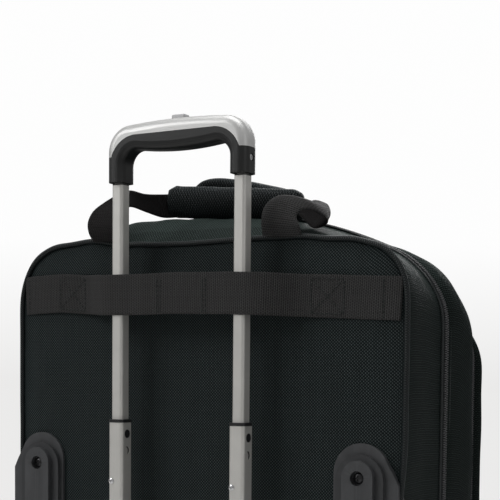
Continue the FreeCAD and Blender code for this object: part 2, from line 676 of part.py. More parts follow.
def grip_opening(y, grow):
    """The hand opening under the crossbar."""
    half_w, top = GRIP_IN_X + grow, GRIP_UNDER_Z + grow
    mid = (GRIP_INNER_R + grow) * math.sqrt(0.5)
    cx, cz = GRIP_IN_X - GRIP_INNER_R, GRIP_UNDER_Z - GRIP_INNER_R
    bottom = SOCKET_BOTTOM_Z - 5
    return wire_xz(
        y, (-half_w, bottom),
        [(half_w, bottom)],
        [(half_w, cz)],
        [(cx + mid, cz + mid), (cx, top)],
        [(0, top - 3.0), (-cx, top)],
        [(-cx - mid, cz + mid), (-half_w, cz)],
        [(-half_w, bottom)])


def grip_body():
    grip = Part.Face(grip_outside(GRIP_FRONT_Y)).extrude(V(0, GRIP_BACK_Y - GRIP_FRONT_Y, 0))
    grip = grip.makeFillet(GRIP_ROUND + 1.5, [
        e for e in grip.Edges
        if e.BoundBox.YLength < 0.1 and e.BoundBox.ZMax > SOCKET_BOTTOM_Z + 1])
    # the opening flares towards both faces as a quarter round: (y, grow)
    steps = [(GRIP_FRONT_Y - 2.0, GRIP_ROUND)]
    for degrees in (90, 72, 54, 36, 18, 0):
        t = math.radians(degrees)
        steps.append((GRIP_FRONT_Y + GRIP_ROUND * (1 - math.sin(t)),
                      GRIP_ROUND * (1 - math.cos(t))))
    steps += [(2 * GRIP_Y - y, grow) for y, grow in reversed(steps)]
    return grip.cut(loft([grip_opening(y, grow) for y, grow in steps]))


def shell_region():
    """Everything above the seam between the lower grip and the shell."""
    wire = wire_xz(
        GRIP_FRONT_Y - 5, (-90, SHELL_EDGE_Z),
        [(-69.5, SHELL_EDGE_Z)],
        [(-60.0, 498.0), (-42.0, SHELL_SEAM_Z)],
        [(42.0, SHELL_SEAM_Z)],
        [(60.0, 498.0), (69.5, SHELL_EDGE_Z)],
        [(90, SHELL_EDGE_Z)],
        [(90, 540)],
        [(-90, 540)],
        [(-90, SHELL_EDGE_Z)])
    return Part.Face(wire).extrude(V(0, GRIP_DEPTH + 10, 0))


def bar_cavity(top):
    return box(-69.8, 69.8, GRIP_Y - 4.6, GRIP_Y + 4.6, 496.5, top)


grip = grip_body()
above_seam = shell_region()
shell = grip.common(above_seam)
lower = grip.cut(above_seam)
button_half_w, button_half_d = BUTTON_W / 2, BUTTON_D / 2
shaft = box(-button_half_w - 0.2, button_half_w + 0.2,
            GRIP_Y - button_half_d - 0.2, GRIP_Y + button_half_d + 0.2, 500.0, 530.0)
spring_pocket = cyl(4.2, (0, GRIP_Y, 491.5), Z, 10)
for cx in (-TUBE_X, TUBE_X):
    socket = tube_solid(cx, INNER_TUBE, SOCKET_BOTTOM_Z - 1, INNER_TOP_Z)
    lower = lower.cut(socket).cut(cyl(2.4, (cx, TUBE_Y, 480), Z, 30))
    shell = shell.cut(socket).cut(cyl(2.4, (cx, TUBE_Y, 480), Z, 22))
lower = lower.cut(bar_cavity(508.0)).cut(spring_pocket).cut(shaft)
shell = shell.cut(bar_cavity(504.0)).cut(shaft)

# screws through the sockets into the tubes
grip_screws = []
for side, sign in SIDES.items():
    seat = (sign * (GRIP_HALF_W - 1.6), GRIP_Y, GRIP_SCREW_Z)
    hole = cyl(SCREW_BORE_R, (sign * (GRIP_HALF_W + 2), GRIP_Y, GRIP_SCREW_Z), X * -sign, 11.5)
    lower = lower.cut(cyl(3.4, seat, X * sign, 6)).cut(hole)
    drill("inner_tube_" + side, hole)
    grip_screws.append(screw(
        seat, X * sign, head_r=3.2, head_h=1.5, shank_r=1.55, length=4.9))
put("grip_lower", largest(lower))
put("grip_shell", largest(shell))
put("grip_screws", *grip_screws)

# release button, the bar it pushes, its spring and the two rods inside the tubes
button_top = GRIP_TOP_Z + BUTTON_PROUD
button = rounded_box(-button_half_w, button_half_w,
                     GRIP_Y - button_half_d, GRIP_Y + button_half_d, BAR_Z1, button_top, 2.0)
button = fillet_some(
    button, 1.4,
    lambda e: (near(e.BoundBox.ZMin, button_top, 0.01)
               and near(e.BoundBox.ZMax, button_top, 0.01)))
put("release_button", button)
bar = rounded_box(-69.2, 69.2, GRIP_Y - 3.4, GRIP_Y + 3.4, BAR_Z0, BAR_Z1, 2.0)
put("release_bar", bar.cut(cyl(2.8, (0, GRIP_Y, 498.5), Z, 2.2)))
put("release_rods",
    *[cyl(1.6, (cx, TUBE_Y, 190.0), Z, BAR_Z0 - 190.0) for cx in (TUBE_X, -TUBE_X)])
put("button_spring",
    coil((0, GRIP_Y, 492.0), "z", mean_r=2.2, wire_r=0.35, length=7.6, turns=5.0))

# ------------------------------------------------------------- carry handles
WRAP_Y, WRAP_Z, WRAP_HALF_W = 48.0, 458.5, 75.0
# centre lines of the webbing, (y, z) from the root up
REAR_PATH = [
    (120.0, 418.6), (121.0, 428.0), (119.0, 440.0), (110.0, 450.0),
    (94.0, 455.0), (72.0, 457.5), (60.0, 458.5),
]
FRONT_PATH = [(-8.5, 440.5), (-6.0, 455.0), (0.0, 467.0), (6.0, 474.0)]


def webbing(path, x0, x1, thickness):
    """Webbing that follows (y, z) points, spanning x0 to x1."""
    upper, under = [], []
    for i, (y, z) in enumerate(path):
        before = path[max(i - 1, 0)]
        after = path[min(i + 1, len(path) - 1)]
        dy, dz = after[0] - before[0], after[1] - before[1]
        length = math.hypot(dy, dz)
        ny, nz = -dz / length * thickness / 2, dy / length * thickness / 2
        upper.append((y + ny, z + nz))
        under.append((y - ny, z - nz))
    return prism(upper + under[::-1], "x", x0, x1)


def rear_arm(sign):
    """Webbing arm with a block at its front end."""
    arm = webbing(REAR_PATH, *span(sign, 77.0, 115.0), 3.2)
    x0, x1 = span(sign, 75.5, 102.0)
    return arm.fuse(rounded_box(x0, x1, 44.0, 62.0, 453.5, 463.5, 3.0, "x"))


core_bar = rounded_box(-77, 77, WRAP_Y - 4.0, WRAP_Y + 5.0, WRAP_Z - 4.5, WRAP_Z + 4.5, 3.0, "x")
rear_handle = rear_arm(1).fuse(rear_arm(-1)).fuse(core_bar)
put("carry_handle_webbing", rear_handle)

# 20-sided oval pad around the bar
wrap_angles = [2 * math.pi * i / 20 for i in range(20)]
wrap_points = [(WRAP_Y + 14.0 * math.cos(a), WRAP_Z + 15.5 * math.sin(a)) for a in wrap_angles]
wrap = prism(wrap_points, "x", -WRAP_HALF_W, WRAP_HALF_W)
put("carry_handle_pad", wrap.cut(rear_handle))

# short handle at the front rim of the main compartment
front_left, front_right = [webbing(FRONT_PATH, *span(sign, 58.0, 88.0), 2.6)
                           for sign in (1, -1)]
front_bar = rounded_box(-90, 90, 1.5, 13.5, 470.0, 481.0, 4.0, "x")
front_handle = front_left.fuse(front_right).fuse(front_bar)
put("front_handle", front_handle.cut(lid_outer).cut(main_outer))

# ------------------------------------------------------------------- sliders
MAIN_SLIDER_X, MAIN_SLIDER_Y = 208.3, -2.0      # inner face and middle of the slider
FRONT_SLIDER_X, FRONT_SLIDER_Y = 204.2, -83.0
SLIDER_Z = 150.0
SLIDER_T = 3.0


def slider(face_x, y, sign):
    """Zip slider outside the tape, with a bridge that carries the pull."""
    z, outside = SLIDER_Z, face_x + SLIDER_T
    plate = rounded_box(*span(sign, face_x, outside), y - 4.5, y + 4.5, z - 7, z + 7, 2.0, "x")
    bridge = box(*span(sign, outside, face_x + 6.2), y - 1.4, y + 1.4, z - 5, z + 4.5)
    gap = box(*span(sign, outside, face_x + 4.8), y - 3, y + 3, z - 3.4, z + 2.8)
    return plate.fuse(bridge.cut(gap))


def pull(face_x, y, sign):
    """Pull hanging from the bridge: a rectangular ring and a tab."""
    z, mid = SLIDER_Z, face_x + 3.9
    x0, x1 = span(sign, mid - 0.6, mid + 0.6)
    link = box(x0, x1, y - 3.6, y + 3.6, z - 12.0, z + 1.3)
    link = link.cut(box(x0, x1, y - 1.9, y + 1.9, z - 10, z + 0.1))
    x0, x1 = span(sign, mid - 0.8, mid + 0.9)
    return link.fuse(rounded_box(x0, x1, y - 4.0, y + 4.0, z - 40.0, z - 11.0, 1.2, "x"))


for side, sign in SIDES.items():
    put("main_slider_" + side, slider(MAIN_SLIDER_X, MAIN_SLIDER_Y, sign))
    put("main_pull_" + side, pull(MAIN_SLIDER_X, MAIN_SLIDER_Y, sign))
put("front_slider", slider(FRONT_SLIDER_X, FRONT_SLIDER_Y, -1))
put("front_pull", pull(FRONT_SLIDER_X, FRONT_SLIDER_Y, -1))

# ------------------------------------------------------------------- export
# the origin goes to the middle of the case's footprint, on the floor
SHIFT = V(0, -14.5, 0)
os.makedirs("parts", exist_ok=True)
for name, shape in pieces.items():
    shape.translate(SHIFT)
    shape.exportStep("parts/%s.step" % name)
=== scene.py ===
import math

import bmesh
import bpy
from mathutils import Matrix, Vector, noise


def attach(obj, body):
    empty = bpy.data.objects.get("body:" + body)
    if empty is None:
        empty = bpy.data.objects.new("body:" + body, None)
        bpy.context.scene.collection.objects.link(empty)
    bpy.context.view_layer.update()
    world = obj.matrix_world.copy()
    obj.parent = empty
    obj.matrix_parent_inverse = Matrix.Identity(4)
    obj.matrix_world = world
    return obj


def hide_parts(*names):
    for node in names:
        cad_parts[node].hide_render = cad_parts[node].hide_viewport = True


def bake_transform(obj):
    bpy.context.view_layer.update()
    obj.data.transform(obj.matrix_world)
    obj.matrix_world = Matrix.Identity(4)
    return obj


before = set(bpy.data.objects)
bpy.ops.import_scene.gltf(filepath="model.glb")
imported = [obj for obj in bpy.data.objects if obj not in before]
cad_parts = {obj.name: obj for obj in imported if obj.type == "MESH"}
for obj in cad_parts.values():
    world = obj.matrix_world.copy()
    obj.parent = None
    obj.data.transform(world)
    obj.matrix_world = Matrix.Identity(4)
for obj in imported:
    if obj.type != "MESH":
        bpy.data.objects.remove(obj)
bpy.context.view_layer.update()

MM = 0.001
COL = bpy.context.scene.collection

# ============================================================ sizes (mm)
TUBE_X, TUBE_Y = 66.8, 142.25
SHIFT_Y = -14.5  # the sketch's datum plane stands this far in front of the frame's
BACK_Y = 115.0
S_BACK = [208.0, 42.0, 26.0, 350.0, 148.0, 405.5, 408.0]
S_MAIN1 = [208.5, 42.0, 26.0, 346.0, 147.0, 409.0, 425.0]
S_MAIN2 = [208.0, 42.0, 26.0, 332.0, 145.0, 411.0, 434.5]
S_MAIN = [205.5, 42.0, 26.0, 303.0, 143.0, 408.0, 440.0]
S_LID0 = [205.2, 46.0, 24.0, 303.0, 143.0, 408.0, 439.0]
S_LIDA = [207.5, 46.0, 24.0, 314.0, 149.0, 409.5, 436.0]
S_LIDM = [209.5, 46.0, 24.0, 320.0, 150.0, 406.0, 425.0]
S_LIDN = [211.5, 46.0, 24.0, 306.0, 149.0, 385.0, 402.0]
S_LID1 = [202.5, 46.0, 24.0, 288.0, 146.0, 362.0, 377.0]
S_PAN0 = [202.0, 49.0, 24.0, 285.0, 146.0, 358.0, 371.0]
S_PANM = [208.5, 51.0, 24.0, 284.0, 145.0, 353.0, 367.0]
S_PAN1 = [199.0, 58.0, 22.0, 272.0, 138.0, 336.0, 349.0]
S_POC0 = [182.0, 61.0, 18.0, 200.0, 160.0, 222.0, 234.0]
S_POC1 = [168.0, 69.0, 16.0, 180.0, 150.0, 198.0, 208.0]


# ============================================================ node helpers
class G:
    """Small helper for writing shader node trees."""

    def __init__(self, tree):
        self.t = tree

    def n(self, kind, **kw):
        node = self.t.nodes.new(kind)
        for k, v in kw.items():
            if k.startswith("in_"):
                key = k[3:]
                key = int(key) if key.isdigit() else key.replace("_", " ")
                self.put(node.inputs[key], v)
            else:
                setattr(node, k, v)
        return node

    def put(self, socket, v):
        if isinstance(v, bpy.types.NodeSocket):
            self.t.links.new(v, socket)
        else:
            socket.default_value = v

    def m(self, op, a, b=None, c=None, clamp=False):
        node = self.t.nodes.new("ShaderNodeMath")
        node.operation = op
        node.use_clamp = clamp
        self.put(node.inputs[0], a)
        if b is not None:
            self.put(node.inputs[1], b)
        if c is not None:
            self.put(node.inputs[2], c)
        return node.outputs[0]

    def mix(self, f, a, b):
        node = self.t.nodes.new("ShaderNodeMix")
        node.data_type = "RGBA"
        self.put(node.inputs["Factor"], f)
        self.put([s for s in node.inputs if s.name == "A" and s.type == "RGBA"][0], a)
        self.put([s for s in node.inputs if s.name == "B" and s.type == "RGBA"][0], b)
        return [s for s in node.outputs if s.type == "RGBA"][0]

    def mixf(self, f, a, b):
        return self.m("ADD", self.m("MULTIPLY", a, self.m("SUBTRACT", 1.0, f)), self.m("MULTIPLY", b, f))

    def ramp(self, f, stops):
        node = self.t.nodes.new("ShaderNodeValToRGB")
        el = node.color_ramp.elements
        while len(el) > 1:
            el.remove(el[-1])
        el[0].position, el[0].color = stops[0][0], stops[0][1]
        for p, c in stops[1:]:
            e = el.new(p)
            e.color = c
        self.t.links.new(f, node.inputs[0])
        return node.outputs[0]

    def noise(self, vec, scale, detail=3.0, rough=0.5):
        node = self.t.nodes.new("ShaderNodeTexNoise")
        if vec is not None:
            self.t.links.new(vec, node.inputs["Vector"])
        node.inputs["Scale"].default_value = scale
        node.inputs["Detail"].default_value = detail
        node.inputs["Roughness"].default_value = rough
        return node.outputs[0]

    def mapped(self, vec, scale=(1, 1, 1), rot=(0, 0, 0)):
        node = self.t.nodes.new("ShaderNodeMapping")
        self.t.links.new(vec, node.inputs["Vector"])
        node.inputs["Scale"].default_value = scale
        node.inputs["Rotation"].default_value = rot
        return node.outputs[0]


def weave_group():
    """Plain weave: in metres, returns Height 0..1, a per-thread grain and which thread is on top."""
    t = bpy.data.node_groups.new("woven_threads", "ShaderNodeTree")
    t.interface.new_socket("Vector", in_out="INPUT", socket_type="NodeSocketVector")
    t.interface.new_socket("Pitch U", in_out="INPUT", socket_type="NodeSocketFloat")
    t.interface.new_socket("Pitch V", in_out="INPUT", socket_type="NodeSocketFloat")
    t.interface.new_socket("Height", in_out="OUTPUT", socket_type="NodeSocketFloat")
    t.interface.new_socket("Grain", in_out="OUTPUT", socket_type="NodeSocketFloat")
    t.interface.new_socket("Over", in_out="OUTPUT", socket_type="NodeSocketFloat")
    g = G(t)
    i, o = t.nodes.new("NodeGroupInput"), t.nodes.new("NodeGroupOutput")
    sep = g.n("ShaderNodeSeparateXYZ", in_0=i.outputs["Vector"])
    wob = g.noise(i.outputs["Vector"], 90.0, 1.0)
    wob = g.m("MULTIPLY", g.m("SUBTRACT", wob, 0.5), 0.35)
    u = g.m("ADD", g.m("DIVIDE", sep.outputs[0], i.outputs["Pitch U"]), wob)
    v = g.m("ADD", g.m("DIVIDE", sep.outputs[1], i.outputs["Pitch V"]), wob)
    cu, cv = g.m("FLOOR", u), g.m("FLOOR", v)
    fu, fv = g.m("SUBTRACT", g.m("FRACT", u), 0.5), g.m("SUBTRACT", g.m("FRACT", v), 0.5)
    par = g.m("FLOORED_MODULO", g.m("ADD", cu, cv), 2.0)
    ku, kv = g.m("COSINE", g.m("MULTIPLY", fu, math.pi)), g.m("COSINE", g.m("MULTIPLY", fv, math.pi))
    ha = g.m("MULTIPLY", kv, g.m("MULTIPLY_ADD", ku, 0.45, 0.55))
    hb = g.m("MULTIPLY", ku, g.m("MULTIPLY_ADD", kv, 0.45, 0.55))
    h = g.mixf(par, ha, hb)
    thread = g.mixf(par, cv, g.m("ADD", cu, 517.0))
    wn = g.n("ShaderNodeTexWhiteNoise", noise_dimensions="1D", in_W=thread)
    t.links.new(h, o.inputs["Height"])
    t.links.new(wn.outputs["Value"], o.inputs["Grain"])
    t.links.new(par, o.inputs["Over"])
    return t


WEAVE = weave_group()


def mat(name, build):
    m = bpy.data.materials.new(name)
    m.use_nodes = True
    t = m.node_tree
    for n in list(t.nodes):
        t.nodes.remove(n)
    g = G(t)
    out = t.nodes.new("ShaderNodeOutputMaterial")
    bsdf = t.nodes.new("ShaderNodeBsdfPrincipled")
    t.links.new(bsdf.outputs[0], out.inputs[0])
    build(g, bsdf)
    return m


def rgba(c, k=1.0):
    return (c[0] * k, c[1] * k, c[2] * k, 1.0)


def fabric(name, base, pitch=(1.35, 1.35), bump=0.35, rough=0.62, sheen=0.35, contrast=1.0, tint=(0.55, 0.75, 0.8), spec=0.25, depth=0.00035, over=0.5, rib=None, up=0.0):
    def build(g, b):
        uv = g.n("ShaderNodeUVMap", uv_map="cloth").outputs[0]
        obj = g.n("ShaderNodeTexCoord").outputs["Object"]
        w = g.t.nodes.new("ShaderNodeGroup")
        w.node_tree = WEAVE
        g.put(w.inputs["Vector"], uv)
        w.inputs["Pitch U"].default_value = pitch[0] * MM
        w.inputs["Pitch V"].default_value = pitch[1] * MM
        h, grain = w.outputs["Height"], w.outputs["Grain"]
        fuzz = g.noise(obj, 2600.0, 2.0)
        cloud = g.noise(obj, 9.0, 4.0, 0.55)
        dust = g.noise(obj, 160.0, 3.0, 0.7)
        # painted shade: the weave height darkens the colour in the gaps between threads
        shade = g.m("MULTIPLY_ADD", h, 0.85 * contrast, 1.0 - 0.5 * contrast)
        shade = g.m("MULTIPLY", shade, g.m("MULTIPLY_ADD", w.outputs["Over"], over * 2, 1.0 - over))
        shade = g.m("MULTIPLY", shade, g.m("MULTIPLY_ADD", grain, 0.24, 0.88))
        shade = g.m("MULTIPLY", shade, g.m("MULTIPLY_ADD", cloud, 0.35, 0.83))
        shade = g.m("MULTIPLY", shade, g.m("MULTIPLY_ADD", fuzz, 0.3, 0.85))
        # painted top light: faces turned up get a lighter colour, standing in for light falling from above
        if up:
            nz_up = g.n("ShaderNodeSeparateXYZ", in_0=g.n("ShaderNodeNewGeometry").outputs["True Normal"]).outputs[2]
            ramp_weight = g.m("POWER", g.m("MAXIMUM", nz_up, 0.0), 2.0)
            shade = g.m("MULTIPLY", shade, g.m("MULTIPLY_ADD", ramp_weight, up, 1.0))
        # rib stripes: partly the woven ribs' own pattern, partly painted highlight on the crests and painted shade in
        # the grooves
        if rib:
            su = g.n("ShaderNodeSeparateXYZ", in_0=uv).outputs[0]
            ph = g.m("MULTIPLY", su, 2 * math.pi / (rib[0] * MM))
            rb = g.m("MULTIPLY_ADD", g.m("COSINE", g.m("ADD", ph, g.m("MULTIPLY", fuzz, 1.2))), 0.5, 0.5)
            shade = g.m("MULTIPLY", shade, g.m("MULTIPLY_ADD", rb, rib[1] * 2, 1.0 - rib[1]))
        col = g.n("ShaderNodeVectorMath", operation="SCALE", in_0=base, in_Scale=shade).outputs[0]
        lint = g.m("MULTIPLY", g.m("GREATER_THAN", dust, 0.76), 0.10)
        col = g.mix(lint, col, (0.10, 0.10, 0.10, 1))
        g.put(b.inputs["Base Color"], col)
        r = g.m("MULTIPLY_ADD", cloud, 0.16, rough - 0.08)
        r = g.m("SUBTRACT", r, g.m("MULTIPLY", h, 0.10))
        g.put(b.inputs["Roughness"], r)
        g.put(b.inputs["Specular IOR Level"], g.m("MULTIPLY_ADD", g.m("MULTIPLY", w.outputs["Over"], h), spec * 1.5, spec * 0.12))
        b.inputs["Sheen Weight"].default_value = sheen
        b.inputs["Sheen Roughness"].default_value = 0.45
        b.inputs["Sheen Tint"].default_value = rgba(tint)
        height = g.m("ADD", h, g.m("MULTIPLY", fuzz, 0.25))
        if rib:
            height = g.m("ADD", height, g.m("MULTIPLY", rb, 1.6))
        bp = g.n("ShaderNodeBump", in_Height=height)
        bp.inputs["Strength"].default_value = bump
        bp.inputs["Distance"].default_value = depth
        g.put(b.inputs["Normal"], bp.outputs[0])

    return mat(name, build)


def plastic(name, base, rough=0.42, grain=900.0, bump=0.12, spec=0.45, wear=0.5, depth=0.0002, speck=0.12):
    def build(g, b):
        obj = g.n("ShaderNodeTexCoord").outputs["Object"]
        fine = g.noise(obj, grain, 2.0, 0.6)
        cloud = g.noise(obj, 22.0, 4.0, 0.6)
        scuff = g.noise(g.mapped(obj, (60, 60, 14)), 3.0, 5.0, 0.7)
        geo = g.n("ShaderNodeNewGeometry")
        edge = g.ramp(geo.outputs["Pointiness"], [(0.50, (0, 0, 0, 1)), (0.58, (1, 1, 1, 1))])
        edge = g.m("MULTIPLY", edge, wear)
        k = g.m("MULTIPLY", g.m("MULTIPLY_ADD", fine, speck * 2, 1.0 - speck), g.m("MULTIPLY_ADD", cloud, 0.25, 0.875))
        col = g.n("ShaderNodeVectorMath", operation="SCALE", in_0=base, in_Scale=k).outputs[0]
        light = tuple(min(1.0, c * 2.2 + 0.03) for c in base)
        col = g.mix(g.m("MULTIPLY", edge, g.m("MULTIPLY_ADD", scuff, 0.8, 0.1)), col, rgba(light))
        g.put(b.inputs["Base Color"], col)
        r = g.m("MULTIPLY_ADD", cloud, 0.12, rough - 0.06)
        r = g.m("ADD", r, g.m("MULTIPLY", g.m("GREATER_THAN", scuff, 0.62), 0.07))
        g.put(b.inputs["Roughness"], r)
        b.inputs["Specular IOR Level"].default_value = spec
        bp = g.n("ShaderNodeBump", in_Height=fine)
        bp.inputs["Strength"].default_value = bump
        bp.inputs["Distance"].default_value = depth
        g.put(b.inputs["Normal"], bp.outputs[0])

    return mat(name, build)


def metal(name, base, rough=0.3, streak=0.12, bump=0.05, along="Z", metallic=1.0, clouds=0.1):
    def build(g, b):
        obj = g.n("ShaderNodeTexCoord").outputs["Object"]
        sc = {"Z": (1500, 1500, 14), "X": (14, 1500, 1500), "Y": (1500, 14, 1500), "N": (600, 600, 600)}[along]
        lines = g.noise(g.mapped(obj, sc), 1.0, 3.0, 0.6)
        cloud = g.noise(obj, 30.0, 4.0, 0.6)
        k = g.m("MULTIPLY", g.m("MULTIPLY_ADD", lines, streak * 2, 1.0 - streak), g.m("MULTIPLY_ADD", cloud, clouds * 2, 1.0 - clouds))
        col = g.n("ShaderNodeVectorMath", operation="SCALE", in_0=base, in_Scale=k).outputs[0]
        g.put(b.inputs["Base Color"], col)
        b.inputs["Metallic"].default_value = metallic
        r = g.m("ADD", g.m("MULTIPLY_ADD", lines, 0.10, rough - 0.05), g.m("MULTIPLY", cloud, 0.06))
        g.put(b.inputs["Roughness"], r)
        bp = g.n("ShaderNodeBump", in_Height=lines)
        bp.inputs["Strength"].default_value = bump
        bp.inputs["Distance"].default_value = 0.00008
        g.put(b.inputs["Normal"], bp.outputs[0])

    return mat(name, build)


M = {
    "bag": fabric("ballistic_nylon", (0.0152, 0.0218, 0.0222), (1.45, 1.45), bump=0.8, rough=0.54, sheen=0.02, over=0.50, spec=0.28, depth=0.0005),
    # up lightens the gusset's top faces: painted top light
    "gusset": fabric("gusset_nylon", (0.0096, 0.0132, 0.0122), (1.45, 1.45), bump=0.5, rough=0.62, sheen=0.02, over=0.4, spec=0.07, rib=(2.1, 0.8), up=2.6),
    "lining": fabric("lining_nylon", (0.040, 0.041, 0.044), (0.7, 0.7), bump=0.2, rough=0.6, sheen=0.10, contrast=0.5, over=0.2),
    "webbing": fabric("webbing", (0.0450, 0.0448, 0.0446), (2.0, 1.2), bump=0.8, rough=0.62, sheen=0.03, contrast=0.9, tint=(0.8, 0.75, 0.75), depth=0.0006, over=0.06, spec=0.2, rib=(2.0, 0.6)),
    # painted shade: a darker copy of the webbing for sides turned away from the light
    "webbing_painted_shade": fabric("webbing_shaded_side", (0.0130, 0.0120, 0.0122), (1.75, 1.0), bump=0.8, rough=0.7, sheen=0.03, contrast=0.8, spec=0.15, tint=(0.8, 0.75, 0.75), depth=0.0006, over=0.12, rib=(1.75, 0.35)),
    "tape": fabric("zip_tape", (0.0150, 0.0155, 0.0160), (0.9, 1.6), bump=0.7, rough=0.6, sheen=0.04, depth=0.0005, over=0.3),
    # up lightens the pad's top: painted top light
    "pad": fabric("handle_pad_cloth", (0.0070, 0.0092, 0.0096), (1.5, 2.2), bump=0.7, rough=0.50, sheen=0.03, depth=0.0005, over=0.3, rib=(2.2, 0.32), up=1.3),
    "piping": fabric("piping_cloth", (0.0135, 0.0165, 0.0170), (1.1, 1.1), bump=0.35, rough=0.40, sheen=0.05, contrast=0.6, spec=0.45, over=0.2),
    "thread": plastic("stitch_thread", (0.0040, 0.0085, 0.0075), rough=0.6, grain=3000, bump=0.3, wear=0.0),
    "guard": plastic("guard_plastic", (0.0377, 0.0390, 0.0416), rough=0.42, grain=1400, bump=0.12, wear=0.6),
    "base": plastic("base_plastic", (0.018, 0.018, 0.020), rough=0.5, grain=1200, bump=0.25, wear=0.5),
    "collar": plastic("collar_plastic", (0.010, 0.010, 0.011), rough=0.35, grain=1400, bump=0.1, wear=0.3),
    "grip": plastic("grip_plastic", (0.0080, 0.0085, 0.0085), rough=0.40, grain=1800, bump=0.18, wear=0.3),
    "button": plastic("button_plastic", (0.62, 0.62, 0.63), rough=0.35, grain=1500, bump=0.1, wear=0.3),
    "silver": metal("grip_silver_paint", (0.66, 0.66, 0.65), rough=0.38, streak=0.04, bump=0.04, along="N", metallic=0.45, clouds=0.03),
    "tube": metal("anodised_tube", (0.66, 0.65, 0.62), rough=0.46, streak=0.06, bump=0.06, metallic=0.62),
    "steel": metal("bright_steel", (0.70, 0.70, 0.71), rough=0.22, streak=0.04, along="N"),
    "dark_steel": metal("black_screw", (0.05, 0.05, 0.052), rough=0.3, streak=0.05, along="N"),
    "slider": metal("black_nickel", (0.10, 0.10, 0.105), rough=0.28, streak=0.05, along="N"),
    "hub": plastic("hub_plastic", (0.07, 0.07, 0.074), rough=0.42, grain=1500, bump=0.15, wear=0.5),
    "tyre": plastic("tyre_rubber", (0.014, 0.014, 0.014), rough=0.6, grain=700, bump=0.3, wear=0.3),
    "foot": plastic("foot_rubber", (0.016, 0.016, 0.016), rough=0.65, grain=900, bump=0.35, wear=0.3),
    "pull": plastic("pull_rubber", (0.018, 0.018, 0.020), rough=0.5, grain=1500, bump=0.3, wear=0.4),
    "coil": plastic("zip_coil", (0.075, 0.076, 0.080), rough=0.35, grain=1500, bump=0.1, wear=0.0),
    "board": plastic("stiffener_board", (0.04, 0.04, 0.042), rough=0.6, grain=800, bump=0.2, wear=0.2),
}

CAD_MATS = {
    "back_piping": "piping", "stiffener_boards": "board", "laptop_retaining_strap": "webbing",
    "wheel_guard_left": "guard", "wheel_guard_right": "guard", "guard_screws": "dark_steel",
    "wheel_hub_left": "hub", "wheel_hub_right": "hub", "tyre_left": "tyre", "tyre_right": "tyre",
    "wheel_bushes_left": "steel", "wheel_bushes_right": "steel", "wheel_axles": "steel",
    "base_tray": "base", "front_feet": "foot", "trolley_bracket": "base", "base_screws": "steel",
    "outer_tube_left": "tube", "outer_tube_right": "tube", "guide_collars": "collar", "tube_screws": "steel",
    "middle_tube_left": "tube", "middle_tube_right": "tube", "middle_collars": "collar", "middle_guide_blocks": "collar",
    "lower_lock_pins": "steel", "lower_pin_springs": "steel",
    "inner_tube_left": "tube", "inner_tube_right": "tube", "inner_guide_blocks": "collar",
    "upper_lock_pins": "steel", "upper_pin_springs": "steel",
    "grip_lower": "grip", "grip_shell": "silver", "grip_screws": "steel", "release_button": "button",
    "release_bar": "collar", "release_rods": "steel", "button_spring": "steel",
    "main_slider_left": "slider", "main_slider_right": "slider", "front_slider": "slider",
    "main_pull_left": "pull", "main_pull_right": "pull", "front_pull": "pull",
}
for node, key in CAD_MATS.items():
    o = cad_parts[node]
    o.data.materials.clear()
    o.data.materials.append(M[key])


# ============================================================ mesh helpers
def arc3(a, m, b, n):
    ax, ay = a
    bx, by = m
    cx, cy = b
    d = 2 * (ax * (by - cy) + bx * (cy - ay) + cx * (ay - by))
    ux = ((ax * ax + ay * ay) * (by - cy) + (bx * bx + by * by) * (cy - ay) + (cx * cx + cy * cy) * (ay - by)) / d
    uy = ((ax * ax + ay * ay) * (cx - bx) + (bx * bx + by * by) * (ax - cx) + (cx * cx + cy * cy) * (bx - ax)) / d
    r = math.hypot(ax - ux, ay - uy)
    t0, tm, t1 = (math.atan2(y - uy, x - ux) for x, y in (a, m, b))
    while tm < t0:
        tm += 2 * math.pi
    while t1 < t0:
        t1 += 2 * math.pi
    if tm > t1:  # the other way round
        t1 -= 2 * math.pi
    return [(ux + r * math.cos(t0 + (t1 - t0) * i / n), uy + r * math.sin(t0 + (t1 - t0) * i / n)) for i in range(n + 1)]


def resample(pts, n, closed=True):
    q = list(pts) + ([pts[0]] if closed else [])
    d = [0.0]
    for a, b in zip(q, q[1:]):
        d.append(d[-1] + math.dist(a, b))
    out, k = [], 0
    total = d[-1]
    for i in range(n):
        s = total * i / (n if closed else n - 1)
        while k < len(d) - 2 and d[k + 1] < s:
            k += 1
        f = (s - d[k]) / max(d[k + 1] - d[k], 1e-9)
        out.append(tuple(x + (y - x) * f for x, y in zip(q[k], q[k + 1])))
    return out


def smooth_loop(pts, times, keep=None):
    for _ in range(times):
        n = len(pts)
        pts = [tuple((pts[i - 1][k] + 2 * pts[i][k] + pts[(i + 1) % n][k]) / 4 for k in range(len(pts[0]))) for i in range(n)]
    return pts


_outline_cache = {}


